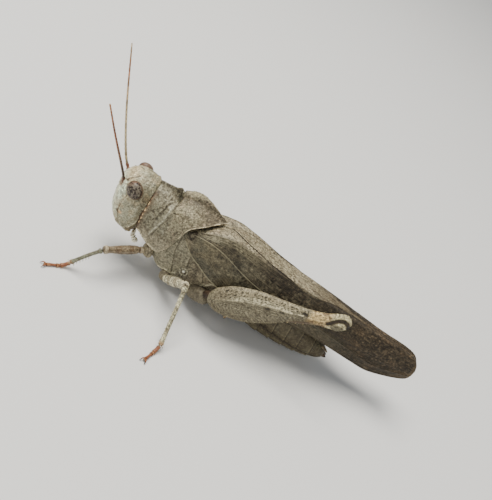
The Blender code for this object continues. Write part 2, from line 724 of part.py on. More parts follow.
def main():
    clear_scene()
    collection(COLLECTION)
    collection(CUTTERS)
    root = bpy.data.objects.new("locust_root", None)
    bpy.data.collections[COLLECTION].objects.link(root)
    turn = bpy.data.objects.new("locust_head_turn", None)
    bpy.data.collections[COLLECTION].objects.link(turn)
    turn.parent = root
    swing = Matrix.Rotation(HEAD_TURN, 4, "Z")
    neck = Matrix.Translation(Vector(NECK) * MM)
    turn.matrix_local = neck @ swing @ neck.inverted()
    finishes = {
        "head": material("head_cuticle", (0.33, 0.31, 0.24), 0.6),
        "eye": material("eye_cornea", (0.13, 0.09, 0.08), 0.25),
        "antenna": material("antenna_cuticle", (0.3, 0.16, 0.09), 0.5),
        "mouth": material("mouth_cuticle", (0.3, 0.26, 0.2), 0.55),
        "palp": material("palp_cuticle", (0.4, 0.32, 0.22), 0.55),
        "pronotum": material("pronotum_cuticle", (0.22, 0.18, 0.14), 0.7),
        "thorax": material("thorax_cuticle", (0.24, 0.21, 0.17), 0.65),
        "abdomen": material("abdomen_cuticle", (0.2, 0.18, 0.13), 0.6),
        "ovipositor": material("valve_cuticle", (0.12, 0.09, 0.06), 0.45),
        "tegmen": material("tegmen_membrane", (0.16, 0.13, 0.1), 0.65),
        "hindwing": material("hindwing_membrane", (0.06, 0.05, 0.04), 0.6),
        "coxa": material("coxa_cuticle", (0.26, 0.22, 0.17), 0.6),
        "femur_fore": material("fore_femur_cuticle", (0.36, 0.22, 0.14), 0.55),
        "femur_mid": material("mid_femur_cuticle", (0.4, 0.33, 0.24), 0.55),
        "femur_hind": material("hind_femur_cuticle", (0.3, 0.25, 0.18), 0.6),
        "tibia": material("tibia_cuticle", (0.42, 0.34, 0.24), 0.55),
        "tibia_hind": material("hind_tibia_cuticle", (0.42, 0.33, 0.18), 0.5),
        "tarsus": material("tarsus_cuticle", (0.36, 0.19, 0.11), 0.5),
    }
    head(finishes)
    pronotum(finishes["pronotum"])
    thorax(finishes["thorax"])
    abdomen(finishes["abdomen"])
    tail_pieces(finishes)
    tegmina(finishes["tegmen"])
    hindwings(finishes["hindwing"])
    walking_legs(finishes)
    for side in (-1, 1):
        hind_leg(side, finishes)
    bpy.context.view_layer.update()
    stand_on_origin(root)


main()
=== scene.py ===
import math
from itertools import product

import bmesh
import bpy
import numpy as np
from mathutils import Matrix, Vector


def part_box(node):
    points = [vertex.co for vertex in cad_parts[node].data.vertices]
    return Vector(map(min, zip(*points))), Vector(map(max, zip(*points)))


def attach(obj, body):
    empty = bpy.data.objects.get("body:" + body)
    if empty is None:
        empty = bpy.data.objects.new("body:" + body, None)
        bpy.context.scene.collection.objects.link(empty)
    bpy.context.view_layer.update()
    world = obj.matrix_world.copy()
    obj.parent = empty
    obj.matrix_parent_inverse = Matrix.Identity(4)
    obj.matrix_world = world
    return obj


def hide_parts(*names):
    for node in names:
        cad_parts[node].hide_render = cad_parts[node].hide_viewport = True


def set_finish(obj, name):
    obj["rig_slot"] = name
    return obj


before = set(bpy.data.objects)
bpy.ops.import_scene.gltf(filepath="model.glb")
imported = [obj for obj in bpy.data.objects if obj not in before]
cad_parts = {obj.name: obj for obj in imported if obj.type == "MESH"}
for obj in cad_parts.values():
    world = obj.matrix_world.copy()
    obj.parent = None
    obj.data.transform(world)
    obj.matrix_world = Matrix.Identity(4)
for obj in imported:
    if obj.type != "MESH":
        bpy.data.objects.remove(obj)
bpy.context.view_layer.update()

# The body frame is in millimetres: x from the face to the wing tips, y to the animal's right,
# z up. Pieces are shaped there, mostly for the right side, and moved to the row frame.
MM = 0.001
BODY_LENGTH = 50.0
GROUND = -9.5
thorax_low, thorax_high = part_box("thorax")
ORIGIN = np.array((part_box("tegmen_left")[1].x / MM - BODY_LENGTH,
                   (thorax_low.y + thorax_high.y) / 2 / MM, -GROUND))
NECK = np.array((5.2, 0.0, 0.0))
HEAD_TURN = math.radians(4.5)
SIDES = ((-1, "left"), (1, "right"))

# points read along a curve to space its rows evenly
FINE_STEPS = 3000
# side of the repeating tables of random values, and a shift that keeps places above 0
TABLE_SIDE, TABLE_START = 32, 500.0
# depth within which a mark on the surface counts as lying on it
SHALLOW = 0.7
# radius of a grain in grain spacings, and how full its dome is
GRAIN_RADIUS, GRAIN_FULLNESS = 0.42, 0.7
# a middle grey as painted, as it is shown, and how much darker tints deepen
GREY, GREY_SHOWN, DEPTH = 0.46, (0.405, 0.418, 0.41), 1.38


# ---------------------------------------------------------------- numbers

def curve(rows, keys):
    """Rows of (key, value, value, ...) joined by a smooth curve and read at each of keys."""
    rows = np.array(rows, float)
    x, v = rows[:, 0], rows[:, 1:]
    slope = np.empty_like(v)
    slope[1:-1] = (v[2:] - v[:-2]) / (x[2:] - x[:-2])[:, None]
    slope[0] = (v[1] - v[0]) / (x[1] - x[0])
    slope[-1] = (v[-1] - v[-2]) / (x[-1] - x[-2])
    keys = np.clip(np.asarray(keys, float), x[0], x[-1])
    i = np.clip(np.searchsorted(x, keys, side="right") - 1, 0, len(x) - 2)
    span = x[i + 1] - x[i]
    t = ((keys - x[i]) / span)[..., None]
    span = span[..., None]
    return ((2 * t**3 - 3 * t**2 + 1) * v[i] + (t**3 - 2 * t**2 + t) * span * slope[i]
            + (3 * t**2 - 2 * t**3) * v[i + 1] + (t**3 - t**2) * span * slope[i + 1])


def even_keys(rows, count):
    """Keys that step evenly along the curve itself, so that its rows lie evenly."""
    keys = np.linspace(rows[0][0], rows[-1][0], FINE_STEPS)
    values = curve(rows, keys)
    steps = np.sqrt(np.diff(keys)**2 + (np.diff(values, axis=0)**2).sum(1))
    length = np.concatenate(([0.0], np.cumsum(steps)))
    return np.interp(np.linspace(0, length[-1], count), length, keys)


def path_through(points, count):
    """Points spaced evenly along a smooth line through a few given ones."""
    points = np.array(points, float)
    gaps = np.linalg.norm(np.diff(points, axis=0), axis=1)
    keys = np.concatenate(([0.0], np.cumsum(gaps)))
    rows = np.column_stack((keys, points))
    return curve(rows, even_keys(rows, count))


def ease(start, end, value):
    """0 before start and 1 after end, with a smooth rise between."""
    t = np.clip((value - start) / (end - start), 0.0, 1.0)
    return t * t * (3 - 2 * t)


def hump(value, centre, width):
    """1 at the centre, falling to almost nothing two widths away."""
    return np.exp(-((value - centre) / width)**2)


def band(value, low, high, soft):
    """1 between low and high, with soft edges."""
    return ease(low - soft, low + soft, value) * (1 - ease(high - soft, high + soft, value))


def cells(points, size):
    """Places counted in cells of a size, and the whole number of the cell each is in."""
    places = np.asarray(points, float) / size + TABLE_START
    return places, np.floor(places).astype(int)


def looked_up(table, cell):
    """What a table that repeats in every direction holds for each cell."""
    return table[tuple(np.moveaxis(cell % TABLE_SIDE, -1, 0))]


def waver(points, size, seed):
    """Smooth random values from -1 to 1 over points, changing over about size millimetres."""
    table = np.random.default_rng(seed).uniform(-1, 1, (TABLE_SIDE,) * 3)
    p, i = cells(points, size)
    f = p - i
    f = f * f * (3 - 2 * f)
    total = np.zeros(p.shape[:-1])
    for corner in product((0, 1), repeat=3):
        share = np.prod(np.abs(1 - np.array(corner) - f), axis=-1)
        total += share * looked_up(table, i + corner)
    return total


def waver2(points, size, seed):
    """Two octaves of the same, for mottling with a finer grain in it."""
    return 0.65 * waver(points, size, seed) + 0.35 * waver(points, size * 0.43, seed + 7)


def pebbles(points, size, seed):
    """Distance to the nearest of many scattered grains, in grain spacings."""
    jitter = np.random.default_rng(seed).uniform(0.1, 0.9, (TABLE_SIDE,) * 3 + (3,))
    p, i = cells(points, size)
    nearest = np.full(p.shape[:-1], np.inf)
    for step in product((-1, 0, 1), repeat=3):
        grain = i + step + looked_up(jitter, i + step)
        nearest = np.minimum(nearest, distance(p, grain))
    return nearest


def grains(points, size, seed):
    """Small round bumps, 1 at their tops and 0 between them."""
    return np.clip(1 - pebbles(points, size, seed) / GRAIN_RADIUS, 0, 1)**GRAIN_FULLNESS


def distance(points, place, scale=1):
    """How far points are from a place, with each direction counted at its own scale."""
    return np.linalg.norm((points - place) * scale, axis=-1)


def reach(points, path, out=None):
    """Distance of each point from a line of straight stretches, in millimetres.

    With the normals given, depth below or above the surface doesn't count when it is small."""
    path = np.array(path, float)
    nearest = np.full(points.shape[:-1], np.inf)
    for a, b in zip(path, path[1:]):
        d = b - a
        t = np.clip(((points - a) @ d) / (d @ d), 0, 1)
        gap = points - a - t[..., None] * d
        far = np.linalg.norm(gap, axis=-1)
        if out is not None:
            beside = gap - (gap * out).sum(-1, keepdims=True) * out
            far = np.where(far < SHALLOW, np.linalg.norm(beside, axis=-1), far)
        nearest = np.minimum(nearest, far)
    return nearest


def line(points, path, width, out=None):
    """1 on a path over the surface, falling to 0 about a width away."""
    return np.exp(-(reach(points, path, out) / width)**2)


def lines(points, paths, width, out):
    """The same for several paths together."""
    return np.max([line(points, path, width, out) for path in paths], axis=0)


def paint(base, colour, share):
    """A tint with another painted over it, as strongly as its share of 0 to 1."""
    return base + (np.array(colour, float) - base) * np.clip(share, 0, 1)[..., None]


def coats(base, *layers):
    """A tint with further tints painted over it in turn, each as (tint, share)."""
    for colour, share in layers:
        base = paint(base, colour, share)
    return base


def plain(points, colour):
    """One tint for every point."""
    return np.broadcast_to(np.array(colour, float), points.shape).copy()


def graded(tint):
    """The painted tints, deepened and warmed a little for the soft light of the stage."""
    return np.clip(GREY_SHOWN * (np.clip(tint, 0, 1) / GREY)**DEPTH, 0, 1)


def right_side(points):
    """The same places on the right side, for marks that both sides have."""
    return points * (1, 0, 1) + np.abs(points) * (0, 1, 0)


def right_side_normals(normals, places):
    """The same for directions, for which the mirror only turns those of the left side."""
    return normals * np.where(places[..., 1:2] < 0, (1, -1, 1), (1, 1, 1))


# ---------------------------------------------------------------- surfaces

def joined(*parts):
    """Numbers side by side along a new last direction, such as x, y and z into points."""
    return np.stack(np.broadcast_arrays(*parts), -1)


def unit(vectors):
    """The same directions at a length of 1."""
    return vectors / np.maximum(np.linalg.norm(vectors, axis=-1, keepdims=True), 1e-12)


def facing(grid, wrap=True):
    """Normals of a grid of points, away from the middle of each row."""
    along = np.gradient(grid, axis=0)
    if wrap:
        around = np.roll(grid, -1, 1) - np.roll(grid, 1, 1)
    else:
        around = np.gradient(grid, axis=1)
    normals = unit(np.cross(along, around))
    outward = ((grid - grid.mean(axis=1, keepdims=True)) * normals).sum(-1).mean()
    return normals * (1.0 if outward > 0 else -1.0)


def turns(sides):
    """The angle of each side of a ring."""
    return 2 * math.pi * np.arange(sides) / sides


def oval_rings(centres, across, up, sides, squareness=2.0):
    """Rings of a superellipse about each centre, as an array of rows, sides and 3."""
    angle = turns(sides)
    power = 2.0 / np.asarray(squareness, float)
    power = np.broadcast_to(power, (len(centres),))[:, None]
    c, s = np.cos(angle)[None, :], np.sin(angle)[None, :]
    c, s = np.sign(c) * np.abs(c)**power, np.sign(s) * np.abs(s)**power
    return (np.asarray(centres)[:, None, :] + np.asarray(across)[:, None, :] * c[..., None]
            + np.asarray(up)[:, None, :] * s[..., None])


def limb_frames(path):
    """Directions across and up for each point of a path, square to it."""
    along = unit(np.gradient(path, axis=0))
    across = unit(np.cross(along, (0.0, 0.0, 1.0)))
    return across, np.cross(across, along)


def limb(path, widths, sides=32, squareness=2.0):
    """Rings along a path, with (half width across, half height) at each point."""
    across, up = limb_frames(path)
    widths = np.asarray(widths, float)
    return oval_rings(path, across * widths[:, :1], up * widths[:, 1:2], sides, squareness)


def taper(rows, share):
    """Half widths (across, up) read from rows of (share, across, up) or (share, radius)."""
    values = curve(rows, share)
    return np.column_stack((values[:, 0], values[:, -1]))


def ring_faces(rows, sides):
    """Four-sided faces between each ring of points and the next."""
    i = np.arange(rows - 1)[:, None] * sides
    j = np.arange(sides)[None, :]
    k = (j + 1) % sides
    return joined(i + j, i + k, i + sides + k, i + sides + j).reshape(-1, 4).tolist()


def spread(value, shape):
    """A mark for each point of a grid; a single number stands for all of them."""
    value = np.asarray(value, float)
    return value if value.ndim else np.full(shape, value)


def stem(route, rows, radius=1, sides=32, squareness=2.0, share=None):
    """Rings along a route, as thick as rows say, and how far along it each point is."""
    share = np.linspace(0, 1, len(route)) if share is None else share
    rings = limb(route, taper(rows, share) * radius, sides, squareness)
    return rings, share[:, None] + 0 * rings[..., 0]


def lifted(points, height, out=None):
    """Points moved out from the surface that they make."""
    return points + (facing(points) if out is None else out) * height[..., None]


def shell(rings, **marks):
    """A closed body of rings, its ends closed to a middle point, with marks per point."""
    rows, sides = rings.shape[:2]
    points = np.concatenate((rings.reshape(-1, 3), rings[:1].mean(1), rings[-1:].mean(1)))
    faces = ring_faces(rows, sides)
    first, last, end = rows * sides, rows * sides + 1, (rows - 1) * sides
    pairs = [(a, (a + 1) % sides) for a in range(sides)]
    faces += [[first, b, a] for a, b in pairs]
    faces += [[last, end + a, end + b] for a, b in pairs]
    turn = turns(sides) + np.zeros((rows, 1))
    marks.update(lengthwise=np.linspace(0, 1, rows)[:, None] + 0 * turn,
                 round_x=np.cos(turn), round_y=np.sin(turn))
    kept = {}
    for name, values in marks.items():
        values = spread(values, (rows, sides)).reshape(rows, sides, -1)
        kept[name] = np.concatenate((values.reshape(rows * sides, -1), values[:1].mean(1),
                                     values[-1:].mean(1)))
    return {"points": points, "faces": faces, "marks": kept}


def leaf(outer, inner, **marks):
    """A thin closed sheet between two grids of points, with a strip along every edge."""
    rows, across = outer.shape[:2]
    ring = np.concatenate((outer, inner[:, ::-1]), axis=1)
    sides = across * 2
    points = ring.reshape(-1, 3)
    faces = ring_faces(rows, sides)
    for start, turn in ((0, 1), ((rows - 1) * sides, -1)):
        n = np.arange(across - 1)
        strip = joined(n, n + 1, sides - n - 2, sides - n - 1) + start
        faces += strip[:, ::-turn].tolist()
    kept = {}
    for name, values in marks.items():
        values = spread(values, (rows, across))
        both = np.concatenate((values, values[:, ::-1]), axis=1)
        kept[name] = both.reshape(rows * sides, -1)
    return {"points": points, "faces": faces, "marks": kept}


def turned_head(points):
    """Points of the head as modelled, turned with the head about the neck."""
    c, s = math.cos(HEAD_TURN), math.sin(HEAD_TURN)
    return (points - NECK) @ np.array(((c, s, 0), (-s, c, 0), (0, 0, 1))) + NECK


def put_mark(mesh, name, values):
    """Stores a tint, a direction or a number for each point of a mesh."""
    kind, field = {"tint": ("FLOAT_COLOR", "color"),
                   "lean": ("FLOAT_VECTOR", "vector")}.get(name, ("FLOAT", "value"))
    if name == "tint":
        values = np.concatenate((graded(values), np.ones((len(values), 1))), 1)
    made = mesh.attributes.get(name) or mesh.attributes.new(name, kind, "POINT")
    made.data.foreach_set(field, values.astype(np.float32).ravel())


def build(name, parts, finish, slot, replaces=(), head=False, sharp=45):
    """One mesh of all parts, closed, facing outwards, riding on the root body."""
    points, faces, marks, start = [], [], {}, 0
    for number, part in enumerate(parts):
        points.append(part["points"])
        faces += [[v + start for v in face] for face in part["faces"]]
        if "lengthwise" in part["marks"]:
            part["marks"]["lengthwise"] = (part["marks"]["lengthwise"] + number) / len(parts)
        for mark, values in part["marks"].items():
            marks.setdefault(mark, []).append(values)
        start += len(part["points"])
    points = np.concatenate(points)
    if head:
        points = turned_head(points)
    mesh = bpy.data.meshes.new(name)
    mesh.from_pydata(((points + ORIGIN) * MM).tolist(), [], faces)
    for mark, values in marks.items():
        put_mark(mesh, mark, np.concatenate(values))
    bm = bmesh.new()
    bm.from_mesh(mesh)
    bmesh.ops.recalc_face_normals(bm, faces=bm.faces)
    bm.to_mesh(mesh)
    bm.free()
    mesh.shade_smooth()
    if sharp:
        mesh.set_sharp_from_angle(angle=math.radians(sharp))
    return show(name, mesh, finish, slot, replaces)


def placed(name, data):
    """A new object in the scene for a mesh, a lamp or a camera."""
    obj = bpy.data.objects.new(name, data)
    bpy.context.scene.collection.objects.link(obj)
    return obj


def show(name, mesh, finish, slot, replaces=()):
    """Places a mesh in the scene with its finish, its slot and the CAD nodes it stands for."""
    obj = placed(name, mesh)
    mesh.materials.clear()
    mesh.materials.append(finish)
    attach(obj, "root")
    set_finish(obj, slot)
    if replaces:
        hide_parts(*replaces)
    return obj


# ---------------------------------------------------------------- finishes

class Tree:
    """A node tree with a short way of adding a node with its inputs set or joined."""

    def __init__(self, tree):
        self.tree = tree

    def add(self, kind, inputs=None, **settings):
        """A node; each input is a value to set or an output to join to it."""
        node = self.tree.nodes.new(kind)
        for key, value in settings.items():
            setattr(node, key, value)
        for key, value in (inputs or {}).items():
            if isinstance(value, bpy.types.NodeSocket):
                self.tree.links.new(value, node.inputs[key])
            else:
                node.inputs[key].default_value = value
        return node

    def out(self, kind, inputs=None, **settings):
        """The first output of a new node."""
        return self.add(kind, inputs, **settings).outputs[0]

    def maths(self, operation, *values):
        """The result of one operation on numbers or outputs."""
        return self.out("ShaderNodeMath", dict(enumerate(values)), operation=operation)

    def keep(self, geometry, name, value):
        """The geometry with a value stored on its points by name."""
        return self.out("GeometryNodeStoreNamedAttribute",
                        {"Geometry": geometry, "Name": name, "Value": value})


FLECK_BRIGHTNESS = 2.0


def cuticle(name, mottle=0.2, spot=0.34, fine=0.1, speck=0.3, dark=(0.03, 0.024, 0.016),
            roughness=0.55, relief=0.012, grain=0.09, stretch=(1, 1, 1), coat=0.0):
    """Body shell: its painted tint, cloudy mottling, fine dust, dark specks and small relief.

    spot and fine are the sizes of the clouding and the dust, speck that of the specks, which
    show where the points' specks mark is high; pale grains show by the flecks mark."""
    made = bpy.data.materials.new(name)
    made.use_nodes = True
    t = Tree(made.node_tree)
    shader = made.node_tree.nodes["Principled BSDF"]
    place = t.out("ShaderNodeMapping",
                  {"Vector": t.add("ShaderNodeTexCoord").outputs["Object"],
                   "Scale": tuple(s / MM for s in stretch)})
    tint = t.add("ShaderNodeAttribute", attribute_name="tint").outputs["Color"]

    def noise(size, detail=2.0):
        return t.out("ShaderNodeTexNoise", {"Vector": place, "Scale": 1 / size, "Detail": detail})

    def ranged(value, low, high, to_low, to_high):
        return t.out("ShaderNodeMapRange", {0: value, 1: low, 2: high, 3: to_low, 4: to_high})

    cloud = ranged(noise(spot, 3.0), 0.3, 0.7, 1 - mottle, 1 + mottle)
    dust = ranged(noise(fine), 0.3, 0.7, 1 - mottle * 0.8, 1 + mottle * 0.8)
    coloured = t.out("ShaderNodeVectorMath", {0: tint, "Scale": t.maths("MULTIPLY", cloud, dust)},
                     operation="SCALE")

    def dots(size, low, high):
        cells = t.out("ShaderNodeTexVoronoi", {"Vector": place, "Scale": 1 / size})
        return ranged(cells, low, high, 1.0, 0.0)

    speckle = t.maths("MULTIPLY", dots(speck, 0.24, 0.36),
                      t.add("ShaderNodeAttribute", attribute_name="specks").outputs["Fac"])
    coloured = t.add("ShaderNodeMix", {0: speckle, 6: coloured, 7: (*dark, 1.0)},
                     data_type="RGBA").outputs[2]
    flecks = t.maths("MULTIPLY", dots(speck * 0.8, 0.2, 0.42),
                     t.add("ShaderNodeAttribute", attribute_name="flecks").outputs["Fac"])
    lighter = t.out("ShaderNodeVectorMath", {0: coloured, "Scale": FLECK_BRIGHTNESS},
                    operation="SCALE")
    coloured = t.add("ShaderNodeMix", {0: flecks, 6: coloured, 7: lighter},
                     data_type="RGBA").outputs[2]
    t.tree.links.new(coloured, shader.inputs["Base Color"])
    t.tree.links.new(ranged(noise(spot * 0.6), 0.3, 0.7, roughness - 0.08, roughness + 0.08),
                     shader.inputs["Roughness"])
    height = t.maths("ADD", noise(grain), dots(grain * 1.6, 0.1, 0.6))
    bump = t.out("ShaderNodeBump", {"Strength": 0.6, "Distance": relief * MM, "Height": height})
    t.tree.links.new(bump, shader.inputs["Normal"])
    shader.inputs["Specular IOR Level"].default_value = 0.3
    if coat:
        shader.inputs["Coat Weight"].default_value = coat
        shader.inputs["Coat Roughness"].default_value = 0.12
    return made


FINISH = {
    "head": cuticle("head_shell", mottle=0.5, spot=0.26, relief=0.034, roughness=0.56),
    "eye": cuticle("eye_cornea", mottle=0.25, spot=0.16, fine=0.07, speck=0.2, relief=0.004,
                   roughness=0.5, coat=0.12, dark=(0.02, 0.014, 0.014), stretch=(1, 1, 0.55)),
    "feeler": cuticle("feeler_shell", mottle=0.22, spot=0.3, relief=0.006, roughness=0.45),
    "mouth": cuticle("mouth_shell", mottle=0.22, spot=0.25, roughness=0.42),
    "pronotum": cuticle("pronotum_shell", mottle=0.42, spot=0.34, fine=0.12, speck=0.36,
                        relief=0.032, grain=0.13, roughness=0.6),
    "pleura": cuticle("pleura_shell", mottle=0.6, spot=0.34, relief=0.036, roughness=0.6),
    "abdomen": cuticle("abdomen_shell", mottle=0.42, spot=0.36, relief=0.018, roughness=0.52),
    "valve": cuticle("valve_shell", mottle=0.2, roughness=0.35),
    "wing": cuticle("tegmen_membrane", mottle=0.55, spot=0.34, fine=0.13, speck=0.34,
                    dark=(0.016, 0.012, 0.008), relief=0.02, grain=0.15, roughness=0.55,
                    stretch=(0.8, 1, 1)),
    "vein": cuticle("wing_veins", mottle=0.16, spot=0.5, relief=0.004, roughness=0.48),
    "fan": cuticle("hindwing_membrane", mottle=0.15, spot=0.8, relief=0.01, roughness=0.45),
    "coxa": cuticle("coxa_shell", mottle=0.42, spot=0.3, relief=0.016, roughness=0.55),
    "fore": cuticle("fore_leg_shell", mottle=0.5, spot=0.26, speck=0.26, relief=0.01,
                    roughness=0.48),
    "mid": cuticle("mid_leg_shell", mottle=0.85, spot=0.26, speck=0.26, relief=0.01,
                   roughness=0.5),
    "femur": cuticle("hind_femur_shell", mottle=0.55, spot=0.3, fine=0.12, speck=0.3,
                     relief=0.03, roughness=0.52, dark=(0.02, 0.016, 0.01)),
    "shin": cuticle("shin_shell", mottle=0.16, spot=0.3, relief=0.008, roughness=0.42),
    "foot": cuticle("foot_shell", mottle=0.2, spot=0.2, relief=0.008, roughness=0.42),
    "bristle": cuticle("bristle_horn", mottle=0.1, relief=0.001, roughness=0.4),
}


# ---------------------------------------------------------------- growing things by nodes

def node_tree(name, sockets):
    """A geometry tree with named inputs, and the nodes for what goes in and out of it."""
    tree = bpy.data.node_groups.new(name, "GeometryNodeTree")
    tree.interface.new_socket("Geometry", in_out="OUTPUT", socket_type="NodeSocketGeometry")
    tree.interface.new_socket("Geometry", in_out="INPUT", socket_type="NodeSocketGeometry")
    for label, kind in sockets:
        tree.interface.new_socket(label, in_out="INPUT", socket_type="NodeSocket" + kind)
    t = Tree(tree)
    return t, t.add("NodeGroupInput").outputs


def finish_tree(t, geometry, finish):
    """Ends a tree: real geometry instead of instances, smooth, with its finish."""
    solid = t.out("GeometryNodeRealizeInstances", {0: geometry})
    smooth = t.out("GeometryNodeSetShadeSmooth", {0: solid})
    shown = t.add("GeometryNodeSetMaterial", {"Geometry": smooth, "Material": finish})
    t.add("NodeGroupOutput", {0: shown.outputs[0]})
    return t.tree


def named(t, name, kind="FLOAT"):
    """A mark of the base mesh, read by its name."""
    return t.out("GeometryNodeInputNamedAttribute", {0: name}, data_type=kind)


def round_bar(t, curve_geometry, radius, sides):
    """A closed bar of many sides along every curve."""
    profile = t.add("GeometryNodeCurvePrimitiveCircle", {"Resolution": sides, "Radius": 1.0})
    return t.out("GeometryNodeCurveToMesh",
                 {"Curve": curve_geometry, "Scale": radius, "Profile Curve": profile.outputs[0],
                  "Fill Caps": True})


def vein_tree():
    """Round ribs along every edge of a net of lines, as wide as each point's girth mark."""
    t, given = node_tree("vein_net", (("Width", "Float"), ("Sides", "Int"),
                                      ("Finish", "Material")))
    lines = t.out("GeometryNodeMeshToCurve", {0: given["Geometry"]})
    girth = t.maths("MULTIPLY", named(t, "girth"), given["Width"])
    return finish_tree(t, round_bar(t, lines, girth, given["Sides"]), given["Finish"])


def ring_tree():
    """A tapering rod with a waist at each joint between its rings."""
    t, given = node_tree("ringed_rod", (("Rings", "Int"), ("Steps", "Int"), ("Sides", "Int"),
                                        ("Base radius", "Float"), ("Tip radius", "Float"),
                                        ("Waist", "Float"), ("Finish", "Material")))
    lines = t.out("GeometryNodeMeshToCurve", {0: given["Geometry"]})
    count = t.maths("ADD", t.maths("MULTIPLY", given["Rings"], given["Steps"]), 1.0)
    even = t.out("GeometryNodeResampleCurve", {"Curve": lines, "Count": count})
    share = t.out("GeometryNodeSplineParameter")
    turn = t.maths("MULTIPLY", t.maths("MULTIPLY", share, given["Rings"]), math.pi)
    joint = t.maths("POWER", t.maths("ABSOLUTE", t.maths("COSINE", turn)), 14.0)
    girth = t.out("ShaderNodeMapRange",
                  {0: share, 3: given["Base radius"], 4: given["Tip radius"]})
    narrow = t.maths("SUBTRACT", 1.0, t.maths("MULTIPLY", joint, given["Waist"]))
    kept = t.keep(t.keep(even, "along", share), "joint", joint)
    bar = round_bar(t, kept, t.maths("MULTIPLY", girth, narrow), given["Sides"])
    return finish_tree(t, bar, given["Finish"])


def spine_tree():
    """A tapered spine on each point, leaning along its lean mark and as long as its size."""
    t, given = node_tree("spine_rows", (("Slimness", "Float"), ("Sides", "Int"),
                                        ("Finish", "Material")))
    cone = t.add("GeometryNodeMeshCone", {"Vertices": given["Sides"], "Side Segments": 3,
                                          "Radius Top": 0.12, "Radius Bottom": 1.0,
                                          "Depth": 1.0})
    turn = t.out("FunctionNodeAlignRotationToVector", {"Vector": named(t, "lean", "FLOAT_VECTOR")},
                 axis="Z")
    size = named(t, "size")
    wide = t.maths("MULTIPLY", size, given["Slimness"])
    scale = t.out("ShaderNodeCombineXYZ", {0: wide, 1: wide, 2: size})
    place = t.add("ShaderNodeSeparateXYZ", {0: t.out("GeometryNodeInputPosition")})
    tip = t.keep(cone.outputs["Mesh"], "along", place.outputs[2])
    standing = t.out("GeometryNodeInstanceOnPoints",
                     {"Points": given["Geometry"], "Instance": tip, "Rotation": turn,
                      "Scale": scale})
    return finish_tree(t, standing, given["Finish"])


def bristle_tree():
    """Bristles scattered over a surface, as densely as its growth mark says."""
    t, given = node_tree("bristles", (("Density", "Float"), ("Seed", "Int"), ("Size", "Float"),
                                      ("Width", "Float"), ("Lean", "Vector"),
                                      ("Finish", "Material")))
    thick = t.maths("MULTIPLY", named(t, "growth"), given["Density"])
    points = t.add("GeometryNodeDistributePointsOnFaces",
                   {"Mesh": given["Geometry"], "Density": thick, "Seed": given["Seed"]})
    chance = t.add("FunctionNodeRandomValue", {2: 0.55, 3: 1.15, "Seed": given["Seed"]})
    long = t.maths("MULTIPLY", given["Size"], chance.outputs[1])
    direction = t.out("ShaderNodeVectorMath", {0: points.outputs["Normal"], 1: given["Lean"]},
                      operation="ADD")
    turn = t.out("FunctionNodeAlignRotationToVector", {"Vector": direction}, axis="Z")
    shape = t.add("GeometryNodeMeshCone", {"Vertices": 4, "Radius Top": 0.0,
                                           "Radius Bottom": 1.0, "Depth": 1.0})
    scale = t.out("ShaderNodeCombineXYZ", {0: given["Width"], 1: given["Width"], 2: long})
    standing = t.out("GeometryNodeInstanceOnPoints",
                     {"Points": points.outputs["Points"], "Instance": shape.outputs["Mesh"],
                      "Rotation": turn, "Scale": scale})
    return finish_tree(t, standing, given["Finish"])


VEINS, RINGS, SPINES, BRISTLES = vein_tree(), ring_tree(), spine_tree(), bristle_tree()


def line_mesh(name, chains, **marks):
    """A mesh of lines only: chains of points, with marks along them."""
    mesh = bpy.data.meshes.new(name)
    edges, start = [], 0
    for chain in chains:
        edges += [(start + n, start + n + 1) for n in range(len(chain) - 1)]
        start += len(chain)
    points = np.concatenate([np.asarray(chain, float) for chain in chains])
    mesh.from_pydata(((points + ORIGIN) * MM).tolist(), edges, [])
    for mark, values in marks.items():
        put_mark(mesh, mark, np.concatenate(values))
    return mesh


def grow(name, mesh, tree, values, finish):
    """The plain mesh that a geometry tree makes from a base mesh."""
    base = placed(name + "_base", mesh)
    grower = base.modifiers.new("grow", "NODES")
    grower.node_group = tree
    for item in tree.interface.items_tree:
        if item.in_out == "INPUT" and item.name in values:
            grower[item.identifier] = values[item.name]
        elif item.in_out == "INPUT" and item.name == "Finish":
            grower[item.identifier] = finish
    depsgraph = bpy.context.evaluated_depsgraph_get()
    made = bpy.data.meshes.new_from_object(base.evaluated_get(depsgraph),
                                           preserve_all_data_layers=True,
                                           depsgraph=depsgraph)
    base.modifiers.clear()
    bpy.data.objects.remove(base)
    made.name = name
    return made


def read_mark(mesh, name):
    """The numbers of one mark of a mesh, point by point."""
    values = np.zeros(len(mesh.vertices), np.float32)
    mesh.attributes[name].data.foreach_get("value", values)
    return values


def points_of(mesh):
    """The points of a mesh, back in the body frame."""
    places = np.zeros(len(mesh.vertices) * 3, np.float32)
    mesh.vertices.foreach_get("co", places)
    return places.reshape(-1, 3) / MM - ORIGIN


# ---------------------------------------------------------------- head

# z, front x, rear x, half width of the head capsule
HEAD_LEVELS = ((-4.42, 2.6, 4.0, 0.7), (-4.36, 2.2, 4.4, 1.35), (-4.1, 1.75, 4.7, 1.9),
               (-3.3, 1.0, 5.0, 2.45), (-2.0, 0.3, 5.05, 2.88), (-0.4, 0.0, 5.03, 3.12),
               (1.2, -0.12, 5.1, 3.2), (2.6, -0.16, 5.12, 3.02), (3.4, 0.0, 5.1, 2.7),
               (3.95, 0.4, 5.05, 2.25), (4.35, 1.2, 4.95, 1.65), (4.62, 2.5, 4.8, 0.9),
               (4.69, 3.3, 4.4, 0.25))
HEAD_GRID = (156, 232)
EYE_CENTRE = np.array((2.15, 2.78, 3.28))
EYE_RADII = np.array((1.03, 0.8, 1.2))
